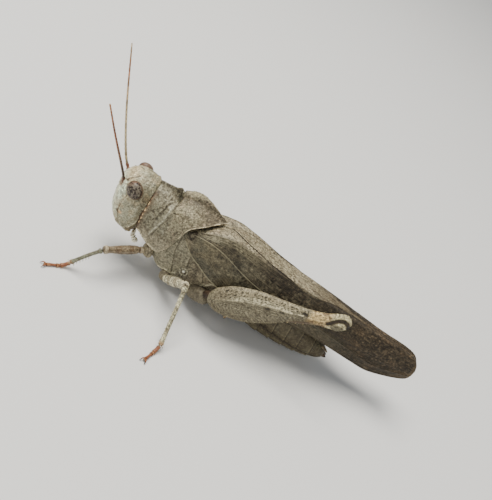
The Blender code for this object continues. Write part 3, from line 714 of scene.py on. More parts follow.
# rows: the eye's width, its outward direction and its length, top leaning in and forward
EYE_AXES = np.array(((0.822, -0.174, 0.541), (-0.1, 0.893, 0.439), (-0.56, -0.415, 0.717)))
SOCKET = (0.35, 1.35, 2.6)
HEAD_BASE = (0.4, 0.382, 0.297)
# the face's own pale tint, raised further as painted light for light falling on the front of the
# face
FACE_PALE_AND_LIT = (0.74, 0.78, 0.65)
VERTEX_PALE = (0.5, 0.47, 0.365)
UMBER = (0.11, 0.075, 0.045)
# tan behind the cheeks, lightened as painted light against the shade cast by the pronotum's rim
TAN = (0.36, 0.32, 0.225)

SUBOCULAR = ((1.5, 3.05, 2.0), (1.35, 2.85, 0.6), (1.41, 2.78, -0.83), (1.9, 2.7, -2.2),
             (2.4, 2.45, -3.6))
FACIAL_RIDGE = ((0.15, 1.9, 1.8), (0.15, 2.15, 0.3), (0.6, 2.35, -1.2), (1.3, 2.35, -2.6),
                (1.9, 2.2, -3.7))
CLYPEUS_SEAM = ((0.72, 0, -2.72), (0.95, 1.2, -2.7), (1.5, 2.0, -2.6), (2.05, 2.6, -2.53))
LIP_SEAM = ((1.25, 0, -3.62), (1.45, 1.1, -3.66), (1.9, 1.8, -3.75))
GENA_EDGE = ((3.57, 2.31, -3.11), (4.26, 2.26, -1.85), (4.43, 2.16, -0.2), (4.36, 2.25, 1.0),
             (4.28, 2.26, 1.95), (4.25, 1.9, 3.0), (4.2, 1.2, 4.0), (4.15, 0.4, 4.5))
GENA_X = ((-3.4, 3.3), (-1.85, 4.26), (-0.2, 4.43), (1.95, 4.28), (4.6, 4.15))
BROW = ((0.72, 1.72, 3.72), (1.0, 1.62, 3.95), (1.45, 1.4, 4.2), (2.0, 0.87, 4.48))
EYE_STREAK = ((3.05, 2.75, 3.25), (3.8, 2.72, 2.85), (4.6, 2.1, 2.45), (4.85, 1.6, 2.3))


def eye_local(points):
    """Points in the eye's own axes, where its surface is 1 from the centre."""
    return (points - EYE_CENTRE) @ EYE_AXES.T / EYE_RADII


def skull():
    """The head capsule, with its sutures, ridges, antenna sockets and small eyes."""
    keys = even_keys(HEAD_LEVELS, HEAD_GRID[0])
    front, rear, half = curve(HEAD_LEVELS, keys).T
    grid = oval_rings(joined((front + rear) / 2, 0, keys), joined((rear - front) / 2, 0, 0),
                      joined(0, half, 0), HEAD_GRID[1], 2.25)
    out = facing(grid)
    p = right_side(grid)
    x, y, z = np.moveaxis(p, -1, 0)
    ahead = ease(0.3, 0.75, -out[..., 0])
    eye = np.linalg.norm(eye_local(p), axis=-1)
    socket = distance(p, SOCKET)
    costa = curve(((-3.0, 0.55), (-1.0, 0.5), (1.6, 0.42), (2.6, 0.46), (3.6, 0.36),
                   (4.2, 0.5)), z)[..., 0]
    face = band(z, -2.5, 3.7, 0.25) * ahead
    ocellus = distance(p, (-0.2, 0, 1.75))
    side_ocellus = distance(p, (0.72, 1.8, 3.61))
    behind = ease(0.0, 0.22, x - curve(GENA_X, z)[..., 0])
    side_out = right_side_normals(out, grid)
    gena = line(p, GENA_EDGE, 0.12, side_out)
    brow = line(p, BROW, 0.11, side_out)
    furrow = line(p, SUBOCULAR, 0.09, side_out)
    clypeus = line(p, CLYPEUS_SEAM, 0.09, side_out)
    ridge = line(p, FACIAL_RIDGE, 0.13, side_out)
    height = 0.11 * hump(eye, 1.13, 0.075) - 0.07 * hump(eye, 1.33, 0.08)
    height += 0.10 * hump(socket, 0.62, 0.1) - 0.42 * hump(socket, 0, 0.42)
    height += face * (0.11 * hump(y, costa, 0.1) - 0.1 * hump(y, 0, 0.24))
    height += 0.07 * hump(ocellus, 0, 0.13) + 0.09 * hump(side_ocellus, 0, 0.12)
    height += 0.1 * ridge - 0.08 * furrow - 0.09 * clypeus + 0.1 * gena
    height -= 0.05 * line(p, LIP_SEAM, 0.07) + 0.07 * brow
    height += 0.09 * line(p + (0, 0, -0.16), BROW, 0.1)
    height -= 0.1 * behind * ease(4.4, 5.0, x)
    top = ease(3.8, 4.2, z)
    height -= 0.09 * top * hump(y, 0.0, 0.55) * band(x, 0.8, 1.9, 0.35)
    height += 0.035 * top * hump(y, 0.0, 0.06) * ease(1.9, 2.3, x)
    pits = grains(p, 0.3, 9)
    height += 0.03 * waver(p, 0.42, 3) + 0.018 * grains(p, 0.2, 4) - 0.025 * pits * (1 - top)
    radial = np.arctan2(eye_local(p)[..., 2], eye_local(p)[..., 0])
    fan = joined(radial * 3.2, eye * 0.35, 0)
    flecked = ease(0.1, 0.45, waver(fan, 0.3, 5)) * band(eye, 1.25, 2.5, 0.25)
    flecked *= ease(1.9, 2.9, x) * ease(-1.2, 0.6, z)
    cloud = waver2(p, 0.8, 11)
    small = waver2(p, 0.3, 12)
    dots = ease(-0.15, 0.3, waver(p, 0.24, 6))
    brown = 0.35 + 0.6 * band(z, -1.8, 0.3, 0.3)
    spot = distance(p, (1.78, 2.92, -1.0))
    ahead_of_spot = distance(p, (1.3, 2.72, -1.0))
    colour = coats(plain(p, HEAD_BASE),
        # pale face, partly its own colour and partly painted light
        (FACE_PALE_AND_LIT, ease(1.9, 0.4, x) * 0.9),
        (VERTEX_PALE, ease(3.3, 4.3, z) * ease(3.3, 1.7, x) * 0.9),
        ((0.24, 0.222, 0.162), ease(1.9, 3.6, x) * ease(0.5, 2.5, z) * 0.9),
        # lower rear cheek painted paler: partly its own colour, partly painted light where the
        # cheek faces away from the light
        ((0.5, 0.47, 0.37), ease(2.8, 4.2, x) * ease(2.8, 1.8, z) * 0.65),
        ((0.27, 0.25, 0.185), ease(0.05, 0.5, cloud) * 0.5),
        ((0.5, 0.4, 0.26), ease(0.05, 0.5, -cloud) * 0.4),
        ((0.24, 0.19, 0.13), pits * 0.4),
        ((0.62, 0.58, 0.45), ease(0.15, 0.5, small) * 0.3),
        ((0.21, 0.17, 0.115), ease(0.1, 0.5, -small) * 0.4),
        ((0.56, 0.42, 0.25), ease(2.2, 0.9, x) * ease(3.2, 3.9, z) * 0.4),
        (UMBER, flecked * 0.42),
        (UMBER, line(p, EYE_STREAK, 0.16) * (0.1 + 0.45 * dots)),
        # tan behind the cheeks, partly painted light against the pronotum rim's shade
        (TAN, behind * 0.5 * ease(0.8, -0.6, z) + behind * 0.3),
        ((0.16, 0.105, 0.06), behind * ease(-2.4, -3.4, z) * 0.6),
        ((0.72, 0.66, 0.5), gena * ease(0.2, -1.0, z) * 0.85),
        ((0.09, 0.065, 0.042), brow * 0.8),
        ((0.17, 0.1, 0.055), furrow * brown),
        ((0.42, 0.33, 0.24), ease(1.7, 0.9, x) * band(z, -2.6, 1.0, 0.7) * 0.22),
        ((0.78, 0.52, 0.28), hump(spot, 0, 0.26) * 0.9),
        ((0.13, 0.075, 0.045), hump(ahead_of_spot, 0, 0.2) * 0.75),
        ((0.2, 0.15, 0.1), clypeus * 0.5 + line(p, LIP_SEAM, 0.07) * 0.5),
        ((0.36, 0.3, 0.21), ease(-2.6, -3.0, z) * ease(2.6, 1.6, x) * 0.5),
        ((0.6, 0.55, 0.42), 0.55 * ridge + face * 0.5 * hump(y, costa, 0.1)),
        ((0.22, 0.1, 0.055), hump(socket, 0, 0.5)),
        ((0.34, 0.2, 0.12), hump(socket, 0.62, 0.1) * 0.5),
        ((0.1, 0.055, 0.032), hump(side_ocellus, 0, 0.24) * 0.95),
        ((0.5, 0.36, 0.2), hump(ocellus, 0, 0.13) * 0.8),
        ((0.17, 0.105, 0.065), hump(eye, 1.05, 0.1) * 0.8))
    specks = 0.3 * ease(1.8, 3.4, x) + 0.25 * top
    build("head_capsule", [shell(lifted(grid, height, out), tint=colour, specks=specks,
                                 flecks=0.4)],
          FINISH["head"], "head_cuticle", ["head"], head=True, sharp=0)


def lenses(level):
    """Points and faces of a ball of even triangles."""
    bm = bmesh.new()
    bmesh.ops.create_icosphere(bm, subdivisions=level, radius=1.0)
    points = np.array([tuple(v.co) for v in bm.verts])
    faces = [[v.index for v in face.verts] for face in bm.faces]
    bm.free()
    return points, faces


def eyes():
    """Each eye is a tilted egg of small raised lenses, streaked and dusted with dark."""
    ball, faces = lenses(6)
    centres = {tuple(p) for p in lenses(5)[0].round(3).tolist()}
    raised = np.array([tuple(p) in centres for p in ball.round(3).tolist()])
    for side, where in SIDES:
        radii = EYE_RADII + np.where(raised, 0.006, -0.004)[:, None]
        p = ((ball * radii) @ EYE_AXES + EYE_CENTRE) * (1, side, 1)
        spots = waver(ball * (1.3, 1.1, 1.0) + side, 0.15, 21)
        spots += 0.5 * waver(ball * (1.0, 1.0, 0.6), 0.3, 22)
        edge = ease(0.5, 0.1, ball[:, 1]) * ease(-0.5, 0.2, ball[:, 0] + 0.4 * ball[:, 2])
        # painted light: the right eye gets fainter dark spots than the left
        dusk = 0.9 if side < 0 else 0.4
        slot = distance(ball, (-0.45, 0.1, 0.86), (0.7, 1, 1.6))
        colour = coats(plain(ball, (0.2, 0.17, 0.135)),
            ((0.33, 0.3, 0.235), ease(0.1, 0.5, waver(ball, 0.3, 24)) * 0.7),
            ((0.15, 0.105, 0.1), ease(0.0, 0.5, waver(ball, 0.45, 23)) * 0.6),
            ((0.2, 0.12, 0.075), edge * 0.85),
            ((0.24, 0.15, 0.105), ease(0.45, 0.95, ball[:, 2]) * 0.7),
            ((0.05, 0.034, 0.026), ease(0.1, 0.3, spots) * dusk),
            # painted light: the right eye is painted lighter than the left
            ((0.3, 0.22, 0.175), (side > 0) * 0.5 + 0 * spots),
            ((0.035, 0.02, 0.015), hump(slot, 0, 0.24) * 0.9))
        build(where + "_eye", [{"points": p, "faces": faces,
                                "marks": {"tint": colour, "specks": np.full((len(p), 1), 0.5)}}],
              FINISH["eye"], "eye_cornea", ["eye_" + where], head=True, sharp=0)


ANTENNA_BASE = (0.5, 1.2, 2.3)
ANTENNA_BENDS = {-1: ((-0.3, 2.26, 4.62), (-3.0, 5.55, 11.3), (-4.85, 8.35, 16.5)),
                 1: ((-1.12, 2.36, 4.02), (-3.85, 4.65, 8.9), (-7.22, 8.0, 16.17))}
ROOT_SHAPE = ((0, 0.12), (0.08, 0.26), (0.5, 0.29), (0.6, 0.2), (0.66, 0.19), (0.72, 0.225),
              (0.9, 0.215), (1.0, 0.1))
# rings in each lash, and points along each of them
LASH_RINGS, RING_POINTS = 26, 8
# tint along each lash, by side: the right lash painted paler as painted light, the left darker as
# painted shade
LASH_COLOURS = {
    -1: ((0.0, 0.1, 0.07, 0.05), (0.25, 0.16, 0.1, 0.07), (0.4, 0.24, 0.11, 0.06),
         (0.7, 0.3, 0.12, 0.06), (1.0, 0.4, 0.2, 0.09)),
    1: ((0.0, 0.3, 0.24, 0.15), (0.3, 0.42, 0.35, 0.24), (0.62, 0.42, 0.31, 0.2),
        (0.78, 0.42, 0.22, 0.13), (0.92, 0.42, 0.3, 0.2), (1.0, 0.62, 0.54, 0.42))}


def antennae():
    """A stout first ring in the socket, a small second one, and a lash of 25 more."""
    for side, where in SIDES:
        mirror = np.array((1, side, 1))
        route = path_through([ANTENNA_BASE, *ANTENNA_BENDS[side]], 160) * mirror
        rings, _ = stem(route[:16], ROOT_SHAPE, 1, 24)
        colour = paint(plain(rings, (0.26, 0.13, 0.075)), (0.12, 0.06, 0.04),
                       (0.5 + 0.5 * waver2(rings, 0.2, 31)) * 0.7)
        build(where + "_antenna_root", [shell(rings, tint=colour)], FINISH["feeler"],
              "antenna_cuticle", head=True)
        thread = line_mesh("lash_line", [turned_head(route[12:])])
        mesh = grow(where + "_antenna", thread, RINGS,
                    {"Rings": LASH_RINGS, "Steps": RING_POINTS, "Sides": 14,
                     "Base radius": 0.19 * MM, "Tip radius": 0.105 * MM, "Waist": 0.24},
                    FINISH["feeler"])
        along, joint = read_mark(mesh, "along"), read_mark(mesh, "joint")
        colour = curve(LASH_COLOURS[side], along)
        ring = np.floor(along * LASH_RINGS).astype(int)
        shade = np.random.default_rng(33 + side).uniform(0.72, 1.3, LASH_RINGS + 1)[ring]
        colour = colour * shade[:, None]
        # joint tint by side, following the painted light and shade of each lash
        pale = (0.5, 0.38, 0.26) if side < 0 else (0.17, 0.11, 0.065)
        colour = paint(colour, pale, joint * 0.65 * ease(0.16, 0.3, along))
        put_mark(mesh, "tint", colour)
        show(where + "_antenna", mesh, FINISH["feeler"], "antenna_cuticle",
             ["antenna_" + where])


def lip(name, replaced, x, z, size, sides, notch, tints, seed, crease):
    """A flat lobe with a notched end. x, z and size run along it as start and change."""
    t = np.linspace(0, 1, LIP_ROWS)
    swell = np.sin(np.pi * np.clip(t, 0.02, 0.98))**0.35
    thick, wide, narrowing = size
    rings = oval_rings(joined(x[0] + x[1] * t, 0, z[0] + z[1] * t), joined(thick * swell, 0, 0),
                       joined(0, (wide + narrowing * t * t) * swell, 0), sides, 2.6)
    y = np.abs(rings[..., 1])
    depth, start, width = notch
    cut = ease(start, 1.0, t)[:, None] * hump(y, 0, width)
    rings = lifted(rings, crease * (0.03 * waver(rings, 0.3, 41) - 0.05 * hump(y, 0, 0.1)))
    rings[..., 2] += depth * cut
    base, shade, strength = tints
    colour = paint(plain(rings, base), shade, 0.5 + strength * waver2(rings, 0.35, seed))
    build(name, [shell(rings, tint=colour)], FINISH["mouth"], "mouth_cuticle", [replaced],
          head=True)


# the joints of the outer and the inner feeler, and the width of each piece between them
PALPS = ((((4.6, 1.95, -4.1), (4.9, 2.2, -4.2), (5.15, 2.35, -4.3), (5.35, 2.45, -4.45),
           (5.45, 2.4, -4.7)), (0.36, 0.38, 0.38, 0.46)),
         (((4.9, 0.85, -4.2), (4.95, 1.05, -4.4), (4.95, 1.1, -4.6), (4.9, 1.05, -4.75)),
          (0.15, 0.16, 0.18)))
PALP_SHAPE = (0.1, 0.62, 0.74, 0.8, 0.85, 0.9, 0.95, 1.0, 1.02, 1.02, 0.98, 0.9, 0.7, 0.1)
LIP_ROWS = 40


def mouth():
    """Upper lip, toothed jaws, lower lip and the jointed feelers beside them."""
    lip("upper_lip", "labrum", (2.05, 0.5), (-4.1, -0.9), (0.25, 1.15, -0.3), 72,
        (0.28, 0.72, 0.16), ((0.3, 0.27, 0.2), (0.13, 0.11, 0.085), 0.6), 42, 1)
    lip("lower_lip", "labium", (4.78, -0.12), (-4.1, -1.3), (0.21, 1.3, -0.35), 60,
        (0.4, 0.7, 0.14), ((0.42, 0.36, 0.26), (0.26, 0.2, 0.13), 0.5), 43, 0)
    t = np.linspace(0, 1, LIP_ROWS)
    swell = np.sin(np.pi * np.clip(t, 0.02, 0.98))**0.35
    for side, where in SIDES:
        mirror = np.array((1, side, 1))
        centre = joined(3.5 + 0.3 * t, 1.25 - 0.5 * t, -4.1 - 1.0 * t)
        rings = oval_rings(centre, joined((0.85 - 0.35 * t) * swell, 0, 0),
                           joined(0, (0.5 - 0.15 * t) * swell, 0), 48, 2.3)
        tooth = ease(0.6, 1.0, t)[:, None] * np.cos(rings[..., 0] * 11)
        rings[..., 2] += 0.09 * tooth
        rings = lifted(rings, 0.03 * waver(rings, 0.4, 44))
        colour = coats(plain(rings, (0.34, 0.29, 0.2)),
            ((0.05, 0.035, 0.025), ease(0.5, 0.9, t)[:, None] + 0 * tooth))
        build(where + "_jaw", [shell(rings * mirror, tint=colour)], FINISH["mouth"],
              "mouth_cuticle", ["mandible_" + where], head=True)
        parts = []
        for joints, widths in PALPS:
            for a, b, width in zip(joints, joints[1:], widths):
                share = np.linspace(-0.04, 1.04, len(PALP_SHAPE))[:, None]
                full = width * np.array(PALP_SHAPE)
                rings = limb(np.array(a) * (1 - share) + np.array(b) * share,
                             np.column_stack((full, full)), 20)
                colour = paint(plain(rings, (0.84, 0.8, 0.69)), (0.42, 0.33, 0.22),
                               hump(share, 1.0, 0.2) * 0.6 + 0 * rings[..., 0])
                parts.append(shell(rings * mirror, tint=colour))
        build(where + "_palps", parts, FINISH["mouth"], "palp_cuticle", ["palp_" + where],
              head=True)


skull()
eyes()
antennae()
mouth()


# ---------------------------------------------------------------- pronotum

SULCUS_X = 8.02
CREST = ((4.6, 4.68), (5.8, 5.0), (7.0, 5.18), (7.8, 5.38), (SULCUS_X, 4.25), (8.45, 4.9),
         (9.6, 5.32), (10.9, 5.8), (12.0, 5.74), (13.4, 5.28), (14.6, 4.72), (15.55, 4.25))
# x, then y and z of the crest's foot, the shoulder, the flank and the lower margin
PLATE = ((4.6, 0.4, 4.3, 2.15, 3.2, 3.25, 1.1, 3.0, -1.8),
         (6.5, 0.4, 4.5, 2.4, 3.3, 3.4, 1.0, 3.2, -2.85),
         (8.0, 0.4, 4.15, 2.65, 3.45, 3.55, 1.0, 3.35, -3.6),
         (9.5, 0.45, 4.8, 3.05, 4.05, 3.85, 1.2, 3.45, -3.45),
         (10.9, 0.5, 5.05, 3.35, 4.05, 4.15, 1.6, 3.55, -2.6),
         (12.4, 0.5, 4.85, 3.3, 3.6, 4.1, 2.0, 3.6, -1.0),
         (13.7, 0.5, 4.6, 3.1, 3.4, 3.9, 2.2, 3.6, 0.0),
         (15.55, 0.4, 4.2, 2.6, 3.5, 3.6, 2.4, 3.5, 1.0))
# place between the crest (0) and the lower margin (1), front x, rear x
PLATE_MARGINS = ((0.0, 4.72, 15.55), (0.12, 4.9, 14.8), (0.28, 5.1, 13.6), (0.45, 5.12, 12.25),
                 (0.6, 5.12, 11.2), (0.75, 5.15, 10.7), (0.9, 5.2, 10.15), (1.0, 5.35, 9.2))
PLATE_PLACES = (0.0, 0.1, 0.45, 0.72, 1.0)
PLATE_WALL = 0.24
PLATE_BASE = (0.265, 0.238, 0.173)

MAIN_SULCUS = ((8.33, 0.31, 4.39), (8.27, 1.2, 4.15), (8.22, 1.9, 3.95), (8.1, 2.6, 3.5),
               (7.98, 3.05, 2.8), (7.95, 3.41, 1.69), (7.45, 3.47, -0.08), (7.2, 3.4, -1.6))
FRONT_SULCUS = ((8.2, 0.7, 4.2), (7.6, 1.6, 3.9), (7.2, 2.3, 3.5), (7.0, 2.9, 2.7),
                (6.7, 3.3, 1.3), (6.75, 3.4, 0.3))
FIRST_SULCUS = ((6.71, 0.8, 4.2), (6.75, 1.4, 4.0), (6.6, 2.3, 3.4), (6.2, 2.9, 2.4))
SLOT = ((8.35, 2.9, 3.25), (9.0, 3.05, 3.62))
LOWER_FOLD = ((6.1, 3.3, -1.0), (7.0, 3.4, -2.0), (8.2, 3.45, -2.7))


def plate_points(u, down):
    """Places on the saddle plate: u from front to rear, down from the crest to the margin."""
    front, rear = np.moveaxis(curve(PLATE_MARGINS, down), -1, 0)
    x = front + (rear - front) * u
    corners = curve(PLATE, x)
    shares = curve([(p, *row) for p, row in zip(PLATE_PLACES, np.eye(5))], down)
    y = (shares[..., 1:] * corners[..., 0::2]).sum(-1)
    z = shares[..., 0] * curve(CREST, x)[..., 0] + (shares[..., 1:] * corners[..., 1::2]).sum(-1)
    return joined(x, y, z)


def saddle_plate():
    """The plate over the fore trunk, from one lower margin over the crest to the other."""
    u = np.concatenate((np.linspace(0, 0.025, 5)[:-1], np.linspace(0.025, 0.975, 158),
                        np.linspace(0.975, 1, 5)[1:]))
    down = np.concatenate((np.linspace(0, 0.12, 14)[:-1], np.linspace(0.12, 1, 74)))
    u, down = np.meshgrid(u, down, indexing="ij")
    half = plate_points(u, down)
    grid = np.concatenate((half[:, :0:-1] * (1, -1, 1), half), axis=1)
    u = np.concatenate((u[:, :0:-1], u), axis=1)
    down = np.concatenate((down[:, :0:-1], down), axis=1)
    out = facing(grid, wrap=False)
    p = right_side(grid)
    x, z = p[..., 0], p[..., 2]
    side_out = right_side_normals(out, grid)
    main = line(p, MAIN_SULCUS, 0.12, side_out)
    second = line(p, FRONT_SULCUS, 0.1, side_out)
    first, fold = line(p, FIRST_SULCUS, 0.1, side_out), line(p, LOWER_FOLD, 0.16, side_out)
    slot = line(p, SLOT, 0.09, side_out)
    bumps = grains(p, 0.3, 54)
    behind = ease(8.0, 8.7, x - 0.14 * (4 - z))
    fore = 1 - behind
    rear_rim = ease(0.972, 0.99, u)
    front_rim = ease(0.05, 0.02, u)
    low_rim = ease(0.975, 0.99, down)
    keel = ease(0.075, 0.0, down)
    shoulder = hump(down, 0.43, 0.05) * behind
    worn = np.clip(0.62 + 0.75 * waver(p, 0.9, 46), 0.15, 1)
    height = worn * (-0.15 * main - 0.1 * second - 0.08 * first) - 0.07 * fold - 0.1 * slot
    height += 0.08 * line(p + (-0.25, 0, 0), MAIN_SULCUS, 0.15, side_out)
    height += 0.09 * line(p + (0.24, 0, 0), MAIN_SULCUS, 0.15, side_out)
    height += 0.06 * line(p + (0.2, 0, 0), FRONT_SULCUS, 0.12, side_out)
    height += 0.05 * np.maximum(rear_rim, low_rim) + 0.07 * front_rim
    height += 0.1 * keel + 0.07 * shoulder
    height += (0.12 * waver(p, 1.1, 52) + 0.05 * waver(p, 0.42, 51)) * fore
    height += 0.03 * waver(p, 0.5, 53) + bumps * (0.03 + 0.03 * behind)
    nicks = np.cos(x * 2 * math.pi / 0.55 + waver(p, 0.6, 56) * 5)
    height += 0.006 * keel * nicks
    height -= 0.05 * ease(0.06, 0.1, u) * ease(0.16, 0.1, u) * ease(0.35, 0.5, down)
    grid = lifted(grid, height, out)
    lead = ease(0.06, 0.0, u)
    grid[..., 0] -= 0.34 * lead * ease(0.02, 0.2, down)
    grid[..., 1] *= 1 - 0.055 * lead
    inner = grid - out * PLATE_WALL
    rest = 2.5 + 0.43 * np.clip(inner[..., 0] - 13, 0, 2.5)
    bridge = hump(inner[..., 1], 0, 0.6) * band(inner[..., 0], 11.4, 15.0, 0.35)
    inner[..., 2] -= bridge * np.maximum(inner[..., 2] - rest, 0)

    cloud, fine = waver2(p, 1.3, 57), waver2(p, 0.45, 58)
    pepper = pebbles(p, 0.3, 45)
    middle = hump(distance(p, (10.3, 3.0, 3.6), (0.75, 1, 1)), 0, 2.1)
    rearward = ease(10.8, 13.6, x) * ease(0.0, 0.2, down)
    side = grid[..., 1] > 0
    pink = ease(0.1, 0.5, waver2(p, 0.42, 59))
    dips = ease(0.16, 0.0, bumps) * ease(0.0, 0.4, waver(p, 0.28, 50))
    wrinkle = waver2(p * (1, 1, 0.7), 0.5, 49) * fore
    lower = ease(-0.2, -1.8, z)
    shadow = np.maximum.reduce((main * worn, second * 0.7 * worn, first * 0.6 * worn, slot,
                                fold * 0.35))
    pale_lip = line(p + (0.28, 0, 0), MAIN_SULCUS, 0.16, side_out)
    notch = distance(p, (8.12, 0.55, 4.2), (1.3, 0.5, 0.8))
    dark_dots = ease(0.0, 0.35, -nicks + 0.5 * waver(p, 0.35, 60))
    beads = 0.5 + 0.5 * np.cos(z * 2 * math.pi / 0.78 + 0.8 * waver(p, 0.9, 48))
    beads = ease(0.3, 0.75, beads) * band(z, -1.2, 2.9, 0.3)
    rim = ease(0.02, 0.01, u) * ease(0.3, 0.4, down)
    dashes = ease(-0.3, 0.3, waver(p, 0.6, 47))
    colour = coats(plain(p, PLATE_BASE),
        ((0.27, 0.245, 0.185), fore * ease(-0.1, 0.5, cloud) * 0.7),
        ((0.31, 0.295, 0.225), fore * band(z, -0.5, 3.2, 1.0) * 0.3),
        ((0.375, 0.335, 0.237), behind * middle * 0.7),
        ((0.19, 0.15, 0.105), rearward * 0.8),
        ((0.15, 0.12, 0.085), behind * ease(0.26, 0.08, down) * 0.6),
        # painted light: a paler band on the right slope of the rear plate only, where that slope
        # faces up into the light
        ((0.38, 0.34, 0.235), band(x, 8.6, 13.2, 0.5) * side * ease(0.45, 0.3, down)
         * ease(0.02, 0.1, down) * 0.85),
        ((0.44, 0.4, 0.29), hump(x, 9.6, 1.1) * ease(0.06, 0.02, down) * 0.5),
        ((0.39, 0.3, 0.225), behind * pink * 0.35),
        ((0.12, 0.095, 0.066), ease(0.2, 0.55, -fine) * 0.6),
        ((0.5, 0.45, 0.34), bumps * (0.2 + 0.2 * behind)),
        ((0.1, 0.08, 0.055), dips * 0.55),
        ((0.5, 0.47, 0.38), ease(0.15, 0.45, wrinkle) * 0.4),
        ((0.1, 0.08, 0.056), ease(0.42, 0.24, pepper) * 0.5),
        ((0.17, 0.135, 0.095), ease(0.06, 0.02, u) * 0.35 * band(down, 0.25, 0.85, 0.12)),
        ((0.39, 0.345, 0.265), lower * 0.6),
        ((0.09, 0.072, 0.05), shadow * 0.72),
        ((0.6, 0.57, 0.46), pale_lip * 0.55 * ease(4.2, 3.4, z)),
        # painted shade in the notch of the crest at the main furrow
        ((0.075, 0.066, 0.034), ease(0.5, 0.28, notch) * 0.85),
        ((0.08, 0.062, 0.045), fore * ease(0.15, 0.02, down) * dark_dots * 0.6),
        ((0.19, 0.14, 0.095), ease(0.06, 0.02, u) * ease(0.2, 0.35, down) * 0.45),
        ((0.15, 0.09, 0.055), rim * 0.8),
        ((0.72, 0.54, 0.33), rim * beads * 0.85),
        ((0.62, 0.54, 0.4), rear_rim * (0.2 + 0.7 * dashes)),
        ((0.74, 0.66, 0.5), low_rim * (0.25 + 0.6 * dashes)))
    specks = 0.45 * fore + 0.55 * behind
    build("saddle_plate", [leaf(grid, inner, tint=colour, specks=specks,
                                flecks=0.2 + 0.22 * behind)],
          FINISH["pronotum"], "pronotum_cuticle", ["pronotum"], sharp=0)


# ---------------------------------------------------------------- trunk

THORAX = ((4.2, -3.0, 3.4, 2.2), (5.0, -3.3, 3.3, 2.6), (5.8, -3.6, 2.9, 2.55),
          (6.3, -3.9, 2.6, 2.4), (8.2, -5.7, 2.9, 2.85), (10.2, -7.4, 2.9, 3.3),
          (11.6, -7.85, 2.65, 3.42), (13.0, -8.05, 2.1, 3.45), (15.0, -8.0, 2.1, 3.35),
          (17.0, -7.6, 2.0, 3.25),
          (18.6, -7.1, 1.8, 3.1), (19.6, -7.2, 1.6, 2.6))
PLEURA_SEAMS = (((11.0, 2.9, 0.5), (11.14, 3.07, -1.61), (11.8, 2.95, -3.6), (12.4, 2.64, -5.6)),
                ((13.3, 3.3, 0.2), (13.61, 3.26, -2.28), (13.9, 3.22, -3.4),
                 (13.9, 2.9, -5.2)),
                ((15.0, 3.3, 0.16), (15.9, 3.25, -2.2), (17.11, 2.9, -4.89),
                 (17.2, 2.4, -6.2)))
PLEURA_RIDGES = (((10.4, 2.5, -5.9), (11.3, 2.7, -5.65), (12.3, 2.8, -5.6), (12.8, 2.9, -5.15)),
                 ((15.3, 2.9, -5.8), (16.2, 3.0, -5.45), (16.9, 3.0, -4.9), (17.1, 3.0, -4.5)),
                 ((17.3, 3.0, -4.75), (18.0, 2.9, -3.7), (19.2, 2.8, -3.4)))
SPIRACLE = (13.74, 3.14, -4.22)
# rings, and points on each ring
THORAX_GRID, ABDOMEN_GRID, HIND_FEMUR_GRID = (250, 240), (230, 150), (232, 176)


def upright_rings(x, y, low, high, half, sides, squareness):
    """Upright rings along x, from low to high and half as wide to each side of y."""
    return oval_rings(joined(x, y, (low + high) / 2), joined(0, half, 0),
                      joined(0, 0, (high - low) / 2), sides, squareness)


def side_plates():
    """The walls of the middle trunk: swollen plates between seams, and a spiracle."""
    keys = np.linspace(THORAX[0][0], THORAX[-1][0], THORAX_GRID[0])
    rings = upright_rings(keys, 0, *curve(THORAX, keys).T, THORAX_GRID[1], 2.7)
    out = facing(rings)
    p = right_side(rings)
    x, y, z = np.moveaxis(p, -1, 0)
    side_out = right_side_normals(out, rings)
    seams = lines(p, PLEURA_SEAMS, 0.09, side_out)
    lips = lines(p + (0.2, 0, 0), PLEURA_SEAMS, 0.13, side_out)
    ridges = lines(p, PLEURA_RIDGES, 0.13, side_out)
    spiracle = distance(p, SPIRACLE, (1, 0, 0.85))
    pit = distance(p, (13.6, 2.9, -5.2), (0.9, 1, 1.2))
    height = -0.1 * seams + 0.05 * lips + 0.17 * ridges
    height += 0.12 * hump(spiracle, 0.52, 0.1) - 0.1 * hump(spiracle, 0.33, 0.09)
    height -= 0.25 * hump(pit, 0, 0.4)
    height += 0.09 * waver(p, 1.5, 61) + 0.035 * waver(p, 0.5, 62)
    height += 0.02 * grains(p, 0.26, 63)
    belly = ease(-5.9, -6.6, z)
    height -= 0.09 * belly * hump(y, 0.0, 0.1)
    for edge in (10.6, 14.2, 17.6):
        height -= 0.09 * belly * hump(x, edge, 0.1)
    height -= 0.1 * hump(x, 5.55, 0.25)
    cloud = waver2(p, 1.1, 64)
    colour = coats(plain(p, (0.29, 0.265, 0.2)),
        ((0.18, 0.15, 0.106), ease(12.4, 15.0, x) * 0.75),
        # painted light: the rear walls painted paler to lift the shade under the wing's edge
        ((0.38, 0.33, 0.245), ease(15.2, 16.4, x) * 0.7),
        ((0.15, 0.125, 0.09), ease(0.0, 0.5, cloud) * 0.5),
        ((0.4, 0.355, 0.27), ease(0.1, 0.6, -cloud) * 0.35),
        ((0.07, 0.054, 0.038), seams * 0.55),
        ((0.46, 0.42, 0.32), lips * 0.3),
        ((0.62, 0.57, 0.43), ridges * 0.95),
        ((0.05, 0.04, 0.03), ease(0.46, 0.2, pit) * 0.8),
        ((0.62, 0.58, 0.46), hump(spiracle, 0.52, 0.1) * 0.9),
        ((0.08, 0.056, 0.038), hump(spiracle, 0.37, 0.08) * 0.9),
        ((0.8, 0.78, 0.67), ease(0.3, 0.18, spiracle) * 0.9),
        ((0.33, 0.28, 0.2), belly * 0.7),
        ((0.13, 0.08, 0.05), ease(5.75, 5.2, x) * 0.9))
    build("side_plates", [shell(lifted(rings, height, out), tint=colour,
                                specks=0.4, flecks=0.3,
                                growth=ease(7.0, 9.0, x) * ease(-1.5, -3.5, z))],
          FINISH["pleura"], "thorax_cuticle", ["thorax"], sharp=0)


